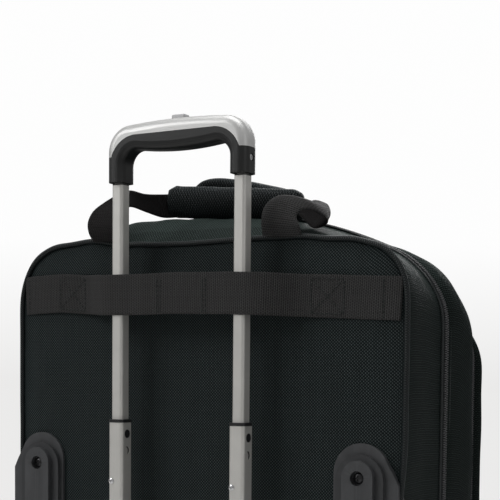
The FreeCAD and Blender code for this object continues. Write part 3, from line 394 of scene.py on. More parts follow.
def outline(S, n=320, soft=60):
    """Points round a bag section, from the middle of its bottom edge towards +X, with their outward normals."""
    key = (tuple(round(x, 4) for x in S), n, soft)
    if key in _outline_cache:
        return _outline_cache[key]
    hw, zb, rb, zs, xc, zc, zt = S
    q = rb * (1 - math.sqrt(0.5))
    mx, mz = xc + (hw - xc) * 0.715, zs + (zc - zs) * 0.715
    right = [(0, zb), (hw - rb, zb)]
    right += arc3((hw - rb, zb), (hw - q, zb + q), (hw, zb + rb), 12)[1:]
    right += [(hw, zs)]
    right += [(min(x, hw), z) for x, z in arc3((hw, zs), (mx, mz), (xc, zc), 16)[1:]]
    top = arc3((xc, zc), (0, zt), (-xc, zc), 32)[1:]
    left = [(-x, z) for x, z in reversed(right)][1:-1]
    pts = resample(right + top + left, n)
    pts = smooth_loop(pts, soft // 6)
    pts = resample(pts, n)
    nor = []
    for i in range(n):
        a, b = pts[i - 1], pts[(i + 1) % n]
        dx, dz = b[0] - a[0], b[1] - a[1]
        m = math.hypot(dx, dz)
        nor.append((dz / m, -dx / m))
    _outline_cache[key] = (pts, nor)
    return pts, nor


def lerp(a, b, t):
    return [p + (q - p) * t for p, q in zip(a, b)]


def station(table, y):
    """Interpolates a list of (y, S) with y falling."""
    if y >= table[0][0]:
        return table[0][1]
    for (ya, a), (yb, b) in zip(table, table[1:]):
        if y >= yb:
            return lerp(a, b, (y - ya) / (yb - ya))
    return table[-1][1]


MAIN_T = [(115, S_BACK), (95, S_MAIN1), (60, S_MAIN2), (0, S_MAIN)]
LID_T = [(-4, S_LID0), (-13, S_LIDA), (-32, S_LIDM), (-60, S_LIDN), (-74, lerp(S_LIDN, S_LID1, 0.55)), (-81, S_LID1)]
PAN_T = [(-85, S_PAN0), (-90, lerp(S_PAN0, S_PANM, 0.75)), (-94, S_PANM), (-106, S_PAN1)]


def table(pts, x):
    if x <= pts[0][0]:
        return pts[0][1]
    for (xa, a), (xb, b) in zip(pts, pts[1:]):
        if x <= xb:
            t = (x - xa) / (xb - xa)
            return a + (b - a) * t * t * (3 - 2 * t)
    return pts[-1][1]


# how far the soft top stands above or below the drawn outline, along the width: at the back seam, and over the middle
SAG_BACK = [(-214, 2.0), (-194, 0.5), (-170, -3.5), (-141, -3.5), (-111, -0.9), (-71, -1.5), (0, -3.5), (40, -3.0), (75, -1.0), (123, 5.0), (153, 3.6), (173, 4.0), (193, 5.0), (214, 3.0)]
SAG_MID = [(-214, -1.0), (-182, -4.0), (-150, -3.0), (-105, -2.0), (-60, -0.5), (0, 0.6), (38, 4.6), (72, 9.4), (112, 15.0), (150, 13.0), (190, 6.5), (214, 3.0)]
SAG = [False]


def sag(x, y, z):
    top = smoothstep(300.0, 395.0, z)
    back = smoothstep(60.0, 112.0, y)
    mid = (1 - back) * (0.35 * smoothstep(-60.0, 0.0, y) + 0.65 * smoothstep(0.0, 35.0, y))
    dz = table(SAG_BACK, x) * back + table(SAG_MID, x) * mid
    k = smoothstep(5.0, 108.0, y) * (x / 208.0) ** 2
    dx = -(1.0 + 6.0 * smoothstep(125.0, 235.0, z)) * k if x < 0 else -1.0 * k
    return (x + dx, y, z + dz * top)


def new_object(name, verts, faces, mats, mat_idx=None, uvs=None, smooth=True):
    me = bpy.data.meshes.new(name)
    if SAG[0]:
        verts = [sag(*v) for v in verts]
    me.from_pydata([Vector((v[0], v[1] + SHIFT_Y, v[2])) * MM for v in verts], [], faces)
    for k in mats:
        me.materials.append(M[k])
    if mat_idx:
        me.polygons.foreach_set("material_index", mat_idx)
    lay = me.uv_layers.new(name="cloth")
    if uvs:
        flat = []
        for f in uvs:
            for p in f:
                flat += [p[0] * MM, p[1] * MM]
        lay.data.foreach_set("uv", flat)
    me.polygons.foreach_set("use_smooth", [smooth] * len(me.polygons))
    me.validate()
    me.update()
    o = bpy.data.objects.new(name, me)
    COL.objects.link(o)
    return o


def loft_rings(name, rings, mats, bands, uv_modes, caps=(True, True)):
    """Quads between rings of equal length. bands[i] is the material of the band after ring i,
    uv_modes[i] says how its weave lies: "xz" flat, or "wrap" along the perimeter."""
    n = len(rings[0])
    verts = [p for r in rings for p in r]
    faces, mi, uvs = [], [], []
    per = [0.0]
    mid = rings[len(rings) // 2]
    ref = max(rings, key=lambda r: sum(math.dist(r[i], r[(i + 1) % n]) for i in range(n)))
    for i in range(n):
        per.append(per[-1] + math.dist(ref[i], ref[(i + 1) % n]))
    run = [0.0]
    for a, b in zip(rings, rings[1:]):
        run.append(run[-1] + sum(math.dist(a[i], b[i]) for i in range(0, n, 8)) / len(range(0, n, 8)))
    for j in range(len(rings) - 1):
        for i in range(n):
            k = (i + 1) % n
            f = (j * n + i, j * n + k, (j + 1) * n + k, (j + 1) * n + i)
            faces.append(f)
            mi.append(bands[j])
            if uv_modes[j] == "xz":
                uvs.append([(verts[v][0], verts[v][2]) for v in f])
            else:
                uvs.append([(per[i], run[j]), (per[i + 1], run[j]), (per[i + 1], run[j + 1]), (per[i], run[j + 1])])
    if caps[0]:
        c = len(verts)
        verts.append(tuple(sum(p[k] for p in rings[0]) / n for k in range(3)))
        for i in range(n):
            faces.append((c, (i + 1) % n, i))
            mi.append(bands[0])
            uvs.append([(verts[v][0], verts[v][2]) for v in faces[-1]])
    if caps[1]:
        c = len(verts)
        b = (len(rings) - 1) * n
        verts.append(tuple(sum(p[k] for p in rings[-1]) / n for k in range(3)))
        for i in range(n):
            faces.append((c, b + i, b + (i + 1) % n))
            mi.append(bands[-1])
            uvs.append([(verts[v][0], verts[v][2]) for v in faces[-1]])
    o = new_object(name, verts, faces, mats, mi, uvs)
    bm = bmesh.new()
    bm.from_mesh(o.data)
    bmesh.ops.recalc_face_normals(bm, faces=bm.faces)
    bm.to_mesh(o.data)
    bm.free()
    return o


def nz(x, y, z, s, seed=0.0):
    return noise.noise(Vector((x / s + seed * 7.31, y / s - seed * 3.17, z / s + seed * 1.93)))


def ring(S, y, g=0.0, n=320, centre=None, t=1.0, dy=None):
    """A ring of the bag's section at depth y, grown by g mm, shrunk by t towards centre; dy(x, z) moves it along Y."""
    pts, nor = outline(S, n)
    out = []
    for (x, z), (nx, nz_) in zip(pts, nor):
        k = g(x, y, z) if callable(g) else g
        px, pz = x + nx * k, z + nz_ * k
        if centre:
            px, pz = centre[0] + (px - centre[0]) * t, centre[1] + (pz - centre[1]) * t
        out.append((px, y + (dy(px, pz) if dy else 0.0), pz))
    return out


def box_uv(o):
    """Weave coordinates from the face's main direction."""
    me = o.data
    lay = me.uv_layers.get("cloth") or me.uv_layers.new(name="cloth")
    for p in me.polygons:
        n = p.normal
        ax = max(range(3), key=lambda k: abs(n[k]))
        u, v = [(1, 2), (0, 2), (0, 1)][ax]
        for li in p.loop_indices:
            co = me.vertices[me.loops[li].vertex_index].co
            lay.data[li].uv = (co[u], co[v])


def sweep(name, path, profile, mats, up=None, closed=False, twist=None, uv=True, caps=True):
    """Profile (list of (a, b), mm) carried along a path of (x, y, z) mm. up(i) gives the direction of b."""
    at = profile if callable(profile) else (lambda i: profile)
    profile = at(0) if not callable(profile) else at(len(path) // 2)
    n, m = len(path), len(profile)
    pts = [Vector(p) for p in path]
    verts, uvs, faces = [], [], []
    run = 0.0
    runs = []
    plen = [0.0]
    for a, b in zip(profile, profile[1:] + profile[:1]):
        plen.append(plen[-1] + math.dist(a, b))
    for i in range(n):
        if closed:
            t = (pts[(i + 1) % n] - pts[i - 1]).normalized()
        else:
            t = (pts[min(i + 1, n - 1)] - pts[max(i - 1, 0)]).normalized()
        u = Vector(up(i) if callable(up) else (up or (0, 1, 0)))
        u = (u - t * u.dot(t)).normalized()
        s = t.cross(u).normalized()
        if i:
            run += (pts[i] - pts[i - 1]).length
        runs.append(run)
        for a, b in at(i):
            verts.append(tuple(pts[i] + s * a + u * b))
    last = n if closed else n - 1
    for i in range(last):
        k = (i + 1) % n
        r0, r1 = runs[i], runs[i] + (pts[k] - pts[i]).length
        for j in range(m):
            l = (j + 1) % m
            faces.append((i * m + j, i * m + l, k * m + l, k * m + j))
            uvs.append([(r0, plen[j]), (r0, plen[j + 1]), (r1, plen[j + 1]), (r1, plen[j])])
    if not closed and caps:
        faces.append(tuple(range(m)))
        uvs.append([profile[j] for j in range(m)])
        faces.append(tuple((n - 1) * m + j for j in reversed(range(m))))
        uvs.append([profile[j] for j in reversed(range(m))])
    o = new_object(name, verts, faces, mats, None, uvs)
    bm = bmesh.new()
    bm.from_mesh(o.data)
    bmesh.ops.recalc_face_normals(bm, faces=bm.faces)
    bm.to_mesh(o.data)
    bm.free()
    return o


def circle(r, n=10, ry=None):
    return [(r * math.cos(2 * math.pi * i / n), (ry or r) * math.sin(2 * math.pi * i / n)) for i in range(n)]


def flat(w, t, bev=0.4, n=8):
    """Cross-section of webbing: w wide, t thick, soft edges, several points across."""
    top = [(-w / 2 + w * i / n, t / 2) for i in range(n + 1)]
    top[0], top[-1] = (-w / 2 + bev, t / 2), (w / 2 - bev, t / 2)
    bot = [(x, -z) for x, z in reversed(top)]
    return top + [(w / 2, 0)] + bot + [(-w / 2, 0)]


def catmull(points, n):
    """Smooth open path through points, n samples evenly along it."""
    p = [Vector(q) for q in points]
    p = [p[0] * 2 - p[1]] + p + [p[-1] * 2 - p[-2]]
    out = []
    for i in range(1, len(p) - 2):
        for k in range(16):
            t = k / 16
            a, b, c, d = p[i - 1], p[i], p[i + 1], p[i + 2]
            out.append(0.5 * ((2 * b) + (c - a) * t + (2 * a - 5 * b + 4 * c - d) * t * t + (3 * b - a - 3 * c + d) * t ** 3))
    out.append(p[-2])
    return [tuple(v) for v in resample([tuple(v) for v in out], n, closed=False)]


def catmull_raw(points, per=8):
    """Smooth open path with the same number of samples between every two points."""
    p = [Vector(q) for q in points]
    p = [p[0] * 2 - p[1]] + p + [p[-1] * 2 - p[-2]]
    out = []
    for i in range(1, len(p) - 2):
        for k in range(per):
            t = k / per
            a, b, c, d = p[i - 1], p[i], p[i + 1], p[i + 2]
            out.append(0.5 * ((2 * b) + (c - a) * t + (2 * a - 5 * b + 4 * c - d) * t * t + (3 * b - a - 3 * c + d) * t ** 3))
    out.append(p[-2])
    return [tuple(v) for v in out]


def join(objs, name):
    bpy.ops.object.select_all(action="DESELECT")
    for o in objs:
        o.select_set(True)
    bpy.context.view_layer.objects.active = objs[0]
    bpy.ops.object.join()
    objs[0].name = name
    objs[0].data.name = name
    return objs[0]


def apply_mods(o):
    dg = bpy.context.evaluated_depsgraph_get()
    me = bpy.data.meshes.new_from_object(o.evaluated_get(dg), preserve_all_data_layers=True, depsgraph=dg)
    o.modifiers.clear()
    old = o.data
    o.data = me
    bpy.data.meshes.remove(old)
    return o


def boolean(o, cutters):
    for c in cutters:
        m = o.modifiers.new("cut", "BOOLEAN")
        m.operation = "DIFFERENCE"
        m.solver = "EXACT"
        m.object = c
    apply_mods(o)
    for c in cutters:
        bpy.data.objects.remove(c)
    return o


def cube(name, x0, x1, y0, y1, z0, z1):
    v = [(x, y, z) for x in (x0, x1) for y in (y0, y1) for z in (z0, z1)]
    f = [(0, 1, 3, 2), (4, 6, 7, 5), (0, 4, 5, 1), (2, 3, 7, 6), (0, 2, 6, 4), (1, 5, 7, 3)]
    return new_object(name, v, f, ["bag"], smooth=False)


def nearest_edge(S, n=320):
    """A function giving the distance from (x, z) to the edge of section S, inside it."""
    from mathutils import kdtree
    pts, _ = outline(S, n)
    dense = resample(pts, n * 4)
    kd = kdtree.KDTree(len(dense))
    for i, (x, z) in enumerate(dense):
        kd.insert((x, 0.0, z), i)
    kd.balance()
    return lambda x, z: kd.find((x, 0.0, z))[2]


def face_rings(S, y, bump, steps=(0.0, 2.5, 6.0, 11.0, 17.0), ts=26, n=320, centre=(0.0, 232.0), g=0.0):
    """Rings from the edge of a flat panel in to its middle; bump(x, z, d) is how far it stands out along Y."""
    edge = nearest_edge(S, n)
    out = []
    for s in steps:
        out.append(ring(S, y, g - s, n))
    base = out[-1]
    for j in range(1, ts):
        t = 1.0 - j / ts
        out.append([(centre[0] + (x - centre[0]) * t, yy, centre[1] + (z - centre[1]) * t) for x, yy, z in base])
    return [[(x, yy + bump(x, z, edge(x, z)), z) for x, yy, z in r] for r in out]


def smoothstep(a, b, x):
    t = max(0.0, min(1.0, (x - a) / (b - a)))
    return t * t * (3 - 2 * t)


def crease(x, z, x0, z0, x1, z1, w, h):
    """A soft ridge along the line from (x0, z0) to (x1, z1)."""
    dx, dz = x1 - x0, z1 - z0
    L = math.hypot(dx, dz)
    s = ((x - x0) * dx + (z - z0) * dz) / (L * L)
    d = ((x - x0) * dz - (z - z0) * dx) / L
    ramp_weight = smoothstep(-0.15, 0.2, s) * (1 - smoothstep(0.7, 1.15, s))
    return h * ramp_weight * math.exp(-(d / w) ** 2)


# ============================================================ main compartment
SAG[0] = True


def back_bump(x, z, d):
    pillow = 5.0 * (1 - (1 - min(d / 46.0, 1.0)) ** 2.2)
    k = smoothstep(0, 25, d)
    k *= 1 - 0.6 * math.exp(-((abs(x) - TUBE_X) / 20) ** 2)
    k *= smoothstep(60, 130, z)
    k *= 1 - 0.55 * math.exp(-((z - 356.0) / 26.0) ** 2)
    wr = 0.9 * nz(x, 0, z, 95, 1) + 0.45 * nz(x * 1.4 + z * 0.6, 0, z, 38, 2)
    wr += crease(x, z, 60, 398, 140, 372, 5, 0.9) + crease(x, z, -30, 402, -95, 376, 6, 0.9) + crease(x, z, 202, 330, 150, 230, 13, 1.0)
    wr += crease(x, z, -150, 300, -205, 180, 16, 1.0) + crease(x, z, 25, 330, 20, 120, 17, 0.9) - crease(x, z, -110, 330, -140, 190, 18, 0.8)
    wr += crease(x, z, -120, 405, -196, 352, 6, 1.5) + crease(x, z, -100, 396, -188, 318, 9, 0.8)
    wr += crease(x, z, 198, 392, 128, 372, 6, 0.7) + crease(x, z, -196, 240, -140, 160, 12, 0.7)
    wr += crease(x, z, 150, 330, 196, 250, 12, 0.6)
    return pillow + (wr - 0.35) * k


def gusset_wob(x, y, z):
    k = smoothstep(0, 22, y) * (1 - smoothstep(93, 114, y))
    side = smoothstep(340, 200, z)
    v = 1.2 * nz(x * 0.5, y, z, 60, 4) + 0.55 * nz(x, y * 0.6, z * 1.2, 26, 5)
    return k * (v - 0.5 - 1.3 * side * math.exp(-((y - 55) / 26) ** 2))


N = 360
rings = list(reversed(face_rings(S_BACK, BACK_Y, back_bump, n=N)))
for y in (113.5, 111, 107, 102, 96, 89, 81, 72, 63, 54, 45, 36, 27, 19, 12, 6, 2, 0):
    rings.append(ring(station(MAIN_T, y), y, gusset_wob, N))
n_face = len(rings) - 18
rings.append(ring(S_MAIN, 0, -1.5, N))
outer = loft_rings("bag_main", rings, ["bag", "gusset", "lining"],
                   [0] * (n_face - 1) + [1] * (len(rings) - n_face - 1) + [2],
                   ["xz"] * (n_face - 1) + ["wrap"] * (len(rings) - n_face))


def in_bump(x, z, d):
    return 3.0 * (1 - (1 - min(d / 60.0, 1.0)) ** 2) + 0.5 * nz(x, 0, z, 60, 9)


rings = list(reversed(face_rings(S_BACK, BACK_Y - 3.0, lambda x, z, d: 0.25 * nz(x, 0, z, 60, 9), n=N, g=-3.0)))
k0 = len(rings)
for y in (108, 96, 80, 62, 45, 28, 12, 2, -2):
    rings.append(ring(station(MAIN_T, y), y, lambda x, yy, z: -3.0 + min(0.0, gusset_wob(x, yy, z)), N))
inner = loft_rings("cut_inner", rings, ["lining"], [0] * (len(rings) - 1), ["xz"] * (k0 - 1) + ["wrap"] * (len(rings) - k0))
for s in (1, -1):
    x0, x1 = sorted((s * 161.0, s * 199.0))
    c = cube("cut_well", x0, x1, 80.0, 150.0, 0.0, 80.0)
    boolean(outer, [c])
    x0, x1 = sorted((s * 158.0, s * 202.0))
    c = cube("cut_well", x0, x1, 77.0, 150.0, 0.0, 83.0)
    boolean(inner, [c])
boolean(outer, [inner])
for p in outer.data.polygons:
    p.use_smooth = True
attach(outer, "case")
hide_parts("main_compartment")

# covered cord in the seam round the back panel, and the bound edge beside it
def rim(S, y, g, n=520, zmin=None):
    pts, nor = outline(S, n)
    q = [((x + nx * g, y, z + nzz * g), (nx, 0, nzz)) for (x, z), (nx, nzz) in zip(pts, nor)]
    if zmin is not None:
        q = [p for p in q if p[0][2] >= zmin]
    return [p[0] for p in q], [p[1] for p in q]


def cord(name, S, y, g, r, body, zmin=None, wob=0.0, mats=("piping",), ry=None):
    path, nor = rim(S, y, g, zmin=zmin)
    path = [(x + nx * wob * nz(x, y, z, 33, 3), yy + wob * nz(z, x, y, 41, 6), z + nzz * wob * nz(x, y, z, 33, 3)) for (x, yy, z), (nx, _, nzz) in zip(path, nor)]
    o = sweep(name, path, circle(r, 12, ry), list(mats), up=lambda i: nor[i], closed=zmin is None)
    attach(o, body)
    return o


o = cord("back_cord", S_BACK, 116.2, 1.6, 2.3, "case", zmin=84.0, wob=0.35)
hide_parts("back_piping")
path, nor = rim(S_BACK, 112.4, 0.5, zmin=84.0)
o = sweep("back_cord_flange", path, flat(4.4, 1.0, 0.3, 4), ["piping"], up=lambda i: nor[i])
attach(o, "case")


# ============================================================ cups: lid and front panel
def cup(name, table, y0, y1, wall, face, face_in, wob, mats, centre, n=N, round_edge=3.0):
    """A shell closed at y0 and open at y1. mats = (face, gusset, lining)."""
    sg = 1 if y1 > y0 else -1
    S0 = station(table, y0)
    rings = list(reversed(face_rings(S0, y0, face, steps=(1.2, 3.5, 7.0, 12.0, 18.0), n=n, centre=centre)))
    k0 = len(rings)
    for f in (0.03, 0.08, 0.16, 0.26, 0.38, 0.5, 0.62, 0.74, 0.84, 0.92, 0.97, 1.0):
        y = y0 + (y1 - y0) * f
        rings.append(ring(station(table, y), y, wob, n))
    k1 = len(rings)
    S1 = station(table, y1)
    rings.append(ring(S1, y1, -wall, n))
    for f in (0.97, 0.85, 0.7, 0.5, 0.3, 0.15):
        y = y0 + (y1 - y0) * f
        if abs(y - y0) > wall * 1.3:
            rings.append(ring(station(table, y), y, -wall, n))
    k2 = len(rings)
    rings += face_rings(station(table, y0 + sg * wall), y0 + sg * wall, face_in, steps=(0.6, 4.0, 8.0, 14.0), ts=20, n=n, centre=centre, g=-wall)
    nb = len(rings) - 1
    bands = [0] * (k0 - 1) + [1] * (k1 - k0) + [1] + [2] * (nb - k1)
    modes = ["xz"] * (k0 - 1) + ["wrap"] * (k2 - k0) + ["xz"] * (nb - k2 + 1)
    o = loft_rings(name, rings, mats, bands[:nb], modes[:nb])
    return o


def lid_wob(x, y, z):
    k = smoothstep(-4, -20, y) * (1 - smoothstep(-62, -80, y))
    return k * (1.6 * nz(x * 0.6, y, z, 55, 12) + 0.6 * nz(x, y, z, 24, 13) + 0.3)


lid = cup("bag_lid", LID_T, -4.0, -81.0, 3.0, lambda x, z, d: 0.0, lambda x, z, d: 0.2 * nz(x, 0, z, 70, 20),
          lid_wob, ["lining", "gusset", "lining"], (0.0, 240.0))
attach(lid, "lid")
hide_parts("lid_section")


def panel_face(x, z, d):
    k = smoothstep(0, 30, d)
    v = 0.9 * nz(x, 0, z, 80, 21) + 0.35 * nz(x, 0, z, 30, 22)
    v += crease(x, z, -150, 320, -90, 250, 10, 0.8) + crease(x, z, 160, 300, 110, 246, 9, 0.8)
    return -3.0 * (1 - (1 - min(d / 60.0, 1.0)) ** 2) - v * k


def panel_wob(x, y, z):
    k = smoothstep(-85, -89, y) * (1 - smoothstep(-101, -106, y))
    return k * (1.0 * nz(x, y, z, 40, 24) + 1.6)


panel = cup("bag_front_panel", PAN_T, -106.0, -85.0, 3.0, panel_face, lambda x, z, d: 0.3 * nz(x, 0, z, 70, 26),
            panel_wob, ["bag", "gusset", "lining"], (0.0, 195.0))
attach(panel, "front_panel")
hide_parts("front_panel")

# pocket sewn on the front panel
POC_T = [(-106.0, S_POC0), (-130.0, S_POC1)]


def pocket_face(x, z, d):
    k = smoothstep(0, 25, d)
    v = 1.1 * nz(x, 0, z, 70, 31) + 0.5 * nz(x, 0, z, 28, 32)
    return 6.0 - 6.5 * (1 - (1 - min(d / 50.0, 1.0)) ** 2) + v * k * 0.7


rings = list(reversed(face_rings(S_POC1, -130.0, pocket_face, steps=(0.0, 3, 7, 12), ts=20, n=280, centre=(0, 140))))
k0 = len(rings)
for y, g in ((-122.0, 0.8), (-119.0, 1.2), (-115.0, 1.4), (-111.0, 1.0), (-108.0, 0.6), (-105.5, 0.0)):
    rings.append(ring(station(POC_T, min(-106.0, y)), y, (lambda gg: (lambda x, yy, z: gg + 0.7 * nz(x, yy, z, 24, 33)))(g), 280))
pocket = loft_rings("pocket_body", rings, ["bag", "gusset"], [0] * (k0 - 1) + [1] * (len(rings) - k0),
                    ["xz"] * (k0 - 1) + ["wrap"] * (len(rings) - k0))
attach(pocket, "front_panel")
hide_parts("front_pocket")


# ============================================================ zips
def along(path, nor, step, start=0.0):
    out, acc = [], start
    for i in range(len(path) - 1):
        a, b = Vector(path[i]), Vector(path[i + 1])
        L = (b - a).length
        t = (b - a) / L
        while acc < L:
            f = acc / L
            out.append((a.lerp(b, f), t, Vector(nor[i]).lerp(Vector(nor[i + 1]), f).normalized()))
            acc += step
        acc -= L
    return out


def teeth(name, path, nor, ydir, body, pitch=2.2):
    """Half of a coil: one rounded bar per pitch, reaching from the tape over the middle."""
    verts, faces = [], []
    prof = [(-0.62, 0.0), (-0.35, 0.62), (0.35, 0.62), (0.62, 0.0), (0.35, -0.55), (-0.35, -0.55)]
    for c, t, n in along(path, nor, pitch):
        b0 = len(verts)
        w = Vector((0, ydir, 0))
        for k, (s, sc) in enumerate(((-1.7, 0.6), (-1.2, 1.0), (1.2, 1.0), (1.9, 1.25), (2.3, 0.7))):
            for a, h in prof:
                verts.append(tuple(c + w * s + t * a * sc + n * (h * sc)))
        m = len(prof)
        for k in range(4):
            for j in range(m):
                l = (j + 1) % m
                faces.append((b0 + k * m + j, b0 + k * m + l, b0 + (k + 1) * m + l, b0 + (k + 1) * m + j))
        faces.append(tuple(b0 + j for j in range(m)))
        faces.append(tuple(b0 + 4 * m + j for j in reversed(range(m))))
    o = new_object(name, verts, faces, ["coil"])
    bm = bmesh.new()
    bm.from_mesh(o.data)
    bmesh.ops.recalc_face_normals(bm, faces=bm.faces)
    bm.to_mesh(o.data)
    bm.free()
    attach(o, body)
    return o


def zip_half(tag, S, y_edge, ydir, zmin, body, node, lift=0.9, width=8.0):
    """Tape on the bag's edge plus its teeth. ydir points from the tape to the middle of the zip."""
    path, nor = rim(S, y_edge - ydir * (width / 2 - 0.2), lift * 0.6, zmin=zmin)
    o = sweep("zip_tape_" + tag, path, flat(width, 0.9, 0.2, 6), ["tape"], up=lambda i: nor[i])
    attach(o, body)
    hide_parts(node)
    path, nor = rim(S, y_edge - ydir * 0.9, lift + 0.55, zmin=zmin)
    t = teeth("zip_teeth_" + tag, path, nor, ydir, body)
    path, nor = rim(S, y_edge - ydir * (width + 0.8), 0.7, zmin=zmin)
    w = sweep("zip_welt_" + tag, path, circle(1.35, 10), ["piping"], up=lambda i: nor[i])
    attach(w, body)
    return o


zip_half("main_rear", S_MAIN, 0.0, -1.0, 82.0, "case", "main_zipper_rear_half")
zip_half("main_front", S_LID0, -4.0, 1.0, 84.0, "lid", "main_zipper_front_half")
zip_half("front_rear", S_LID1, -81.0, -1.0, 86.0, "lid", "front_zipper_rear_half", width=7.0)
zip_half("front_front", S_PAN0, -85.0, 1.0, 86.0, "front_panel", "front_zipper_front_half", width=7.0)


# ============================================================ fabric hinges
def hinge(name, node, pts, half, start, end):
    path = catmull(pts, 26)
    prof = flat(half * 2, 1.4, 0.3, 40)
    # width along X
    verts, faces, uvs = [], [], []
    o = sweep(name, path, prof, ["gusset"], up=lambda i: (0, 0, -1) if i < 1 else tuple(Vector((1, 0, 0)).cross(Vector(path[min(i + 1, len(path) - 1)]) - Vector(path[i - 1]))))
    start, end = ((v[0] * MM, (v[1] + SHIFT_Y) * MM, v[2] * MM) for v in (start, end))
    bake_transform(o)
    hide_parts(node)
    return o


hinge("hinge_main", "lid_hinge_strip", [(0, 14, 41.2), (0, 6, 41.2), (0, 1, 41.4), (0, -2, 42.6), (0, -5, 44.8), (0, -10, 45.2), (0, -16, 45.2)],
      176, (0, 1.0, 42), (0, -5.0, 42))
hinge("hinge_front", "panel_hinge_strip", [(0, -70, 45.2), (0, -77, 45.2), (0, -81, 45.6), (0, -83, 46.4), (0, -85.5, 48.0), (0, -92, 52.2)],
      172, (0, -81.0, 46), (0, -86.0, 46))


# ============================================================ webbing across the tubes
SAG[0] = False


def strap_points():
    half = [(0, 149.9), (30, 150.0), (58, 150.3), (75, 150.3), (83, 149.2), (92, 144.5), (102, 136.5), (112, 128.4), (121, 123.6), (134, 122.2), (152, 121.7), (170, 121.0), (188, 119.9), (198, 118.5), (205, 117.2)]
    left = [(-x - 7.0 * smoothstep(165, 205, x), y) for x, y in reversed(half)][:-1]
    return left + [(x - 3.5 * smoothstep(165, 205, x), y) for x, y in half]


STRAP_Z = [(-210, 349.0), (-125, 353.4), (-85, 354.6), (-55, 356.0), (0, 357.2), (52, 356.7), (84, 357.3), (150, 362.4), (190, 361.3), (205, 360.5)]


def strap_z(x):
    for (xa, a), (xb, b) in zip(STRAP_Z, STRAP_Z[1:]):
        if x <= xb:
            return a + (b - a) * (x - xa) / (xb - xa)
    return STRAP_Z[-1][1]


sp = catmull([(x, y, 0.0) for x, y in strap_points()], 260)
sp = [(x, y, strap_z(x) + 0.5 * nz(x, 0, 3, 40, 41)) for x, y, z in sp]
prof = flat(38.2, 1.8, 0.35, 26)


def up_out(i):
    a, b = Vector(sp[max(i - 1, 0)]), Vector(sp[min(i + 1, len(sp) - 1)])
    t = (b - a).normalized()
    return tuple(Vector((0, 0, 1)).cross(t))


strap = sweep("strap_over_tubes", sp, prof, ["webbing"], up=lambda i: up_out(i))
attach(strap, "case")
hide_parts("tube_strap")


def stitches(name, lines, body, length=3.4, gap=1.1, r=0.46, material="thread"):
    """Thread stitches along polylines [(points, normal), ...]."""
    verts, faces = [], []
    for pts, nrm in lines:
        pts = [Vector(p) for p in pts]
        d = [0.0]
        for a, b in zip(pts, pts[1:]):
            d.append(d[-1] + (b - a).length)

        def at(s):
            s = min(max(s, 0.0), d[-1])
            for k in range(len(pts) - 1):
                if s <= d[k + 1] or k == len(pts) - 2:
                    return pts[k].lerp(pts[k + 1], (s - d[k]) / max(d[k + 1] - d[k], 1e-9))
        s = 0.0
        while s + length <= d[-1] + 0.01:
            a, b = at(s), at(s + length)
            t = (b - a).normalized()
            n = Vector(nrm(a) if callable(nrm) else nrm).normalized()
            sd = t.cross(n).normalized()
            b0 = len(verts)
            for f, sc, h in ((0.0, 0.45, -0.25), (0.18, 1.0, 0.05), (0.5, 1.1, 0.12), (0.82, 1.0, 0.05), (1.0, 0.45, -0.25)):
                c = a.lerp(b, f) + n * h
                for q in range(5):
                    an = 2 * math.pi * q / 5
                    verts.append(tuple(c + sd * (r * sc * math.cos(an)) + n * (r * sc * math.sin(an))))
            for k in range(4):
                for q in range(5):
                    l = (q + 1) % 5
                    faces.append((b0 + k * 5 + q, b0 + k * 5 + l, b0 + (k + 1) * 5 + l, b0 + (k + 1) * 5 + q))
            faces.append(tuple(b0 + q for q in range(5)))
            faces.append(tuple(b0 + 20 + q for q in reversed(range(5))))
            s += length + gap
    o = new_object(name, verts, faces, [material])
    bm = bmesh.new()
    bm.from_mesh(o.data)
    bmesh.ops.recalc_face_normals(bm, faces=bm.faces)
    bm.to_mesh(o.data)
    bm.free()
    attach(o, body)
    return o


def strap_y(x):
    best = min(range(len(sp) - 1), key=lambda i: abs((sp[i][0] + sp[i + 1][0]) / 2 - x))
    a, b = sp[best], sp[best + 1]
    f = (x - a[0]) / (b[0] - a[0])
    t = Vector((b[0] - a[0], b[1] - a[1], 0)).normalized()
    n = Vector((0, 0, 1)).cross(t)
    p = Vector((x, a[1] + (b[1] - a[1]) * f, a[2] + (b[2] - a[2]) * f)) + n * 1.0
    return p


def on_strap(pts, dense=2.0):
    q = []
    for (x0, z0), (x1, z1) in zip(pts, pts[1:]):
        m = max(1, int(math.hypot(x1 - x0, z1 - z0) / dense))
        for i in range(m):
            f = i / m
            x, z = x0 + (x1 - x0) * f, z0 + (z1 - z0) * f
            p = strap_y(x)
            q.append((p.x, p.y, p.z + z))
    p = strap_y(pts[-1][0])
    q.append((p.x, p.y, p.z + pts[-1][1]))
    return q


lines = []
for x0, x1 in ((122, 154), (-127, -159)):
    z0, z1 = -15.5, 15.5
    lines.append((on_strap([(x0, z0), (x1, z0), (x1, z1), (x0, z1), (x0, z0)]), (0, 1, 0)))
    lines.append((on_strap([(x0, z0), (x1, z1)]), (0, 1, 0)))
    lines.append((on_strap([(x0, z1), (x1, z0)]), (0, 1, 0)))
for x in (16, -30):
    lines.append((on_strap([(x, -17), (x, 17)]), (0, 1, 0)))
    lines.append((on_strap([(x + 3.5 * (1 if x > 0 else -1), -17), (x + 3.5 * (1 if x > 0 else -1), 17)]), (0, 1, 0)))
for x in (196, -196):
    lines.append((on_strap([(x, -18), (x, 18)]), (0, 1, 0)))
stitches("strap_stitching", lines, "case")


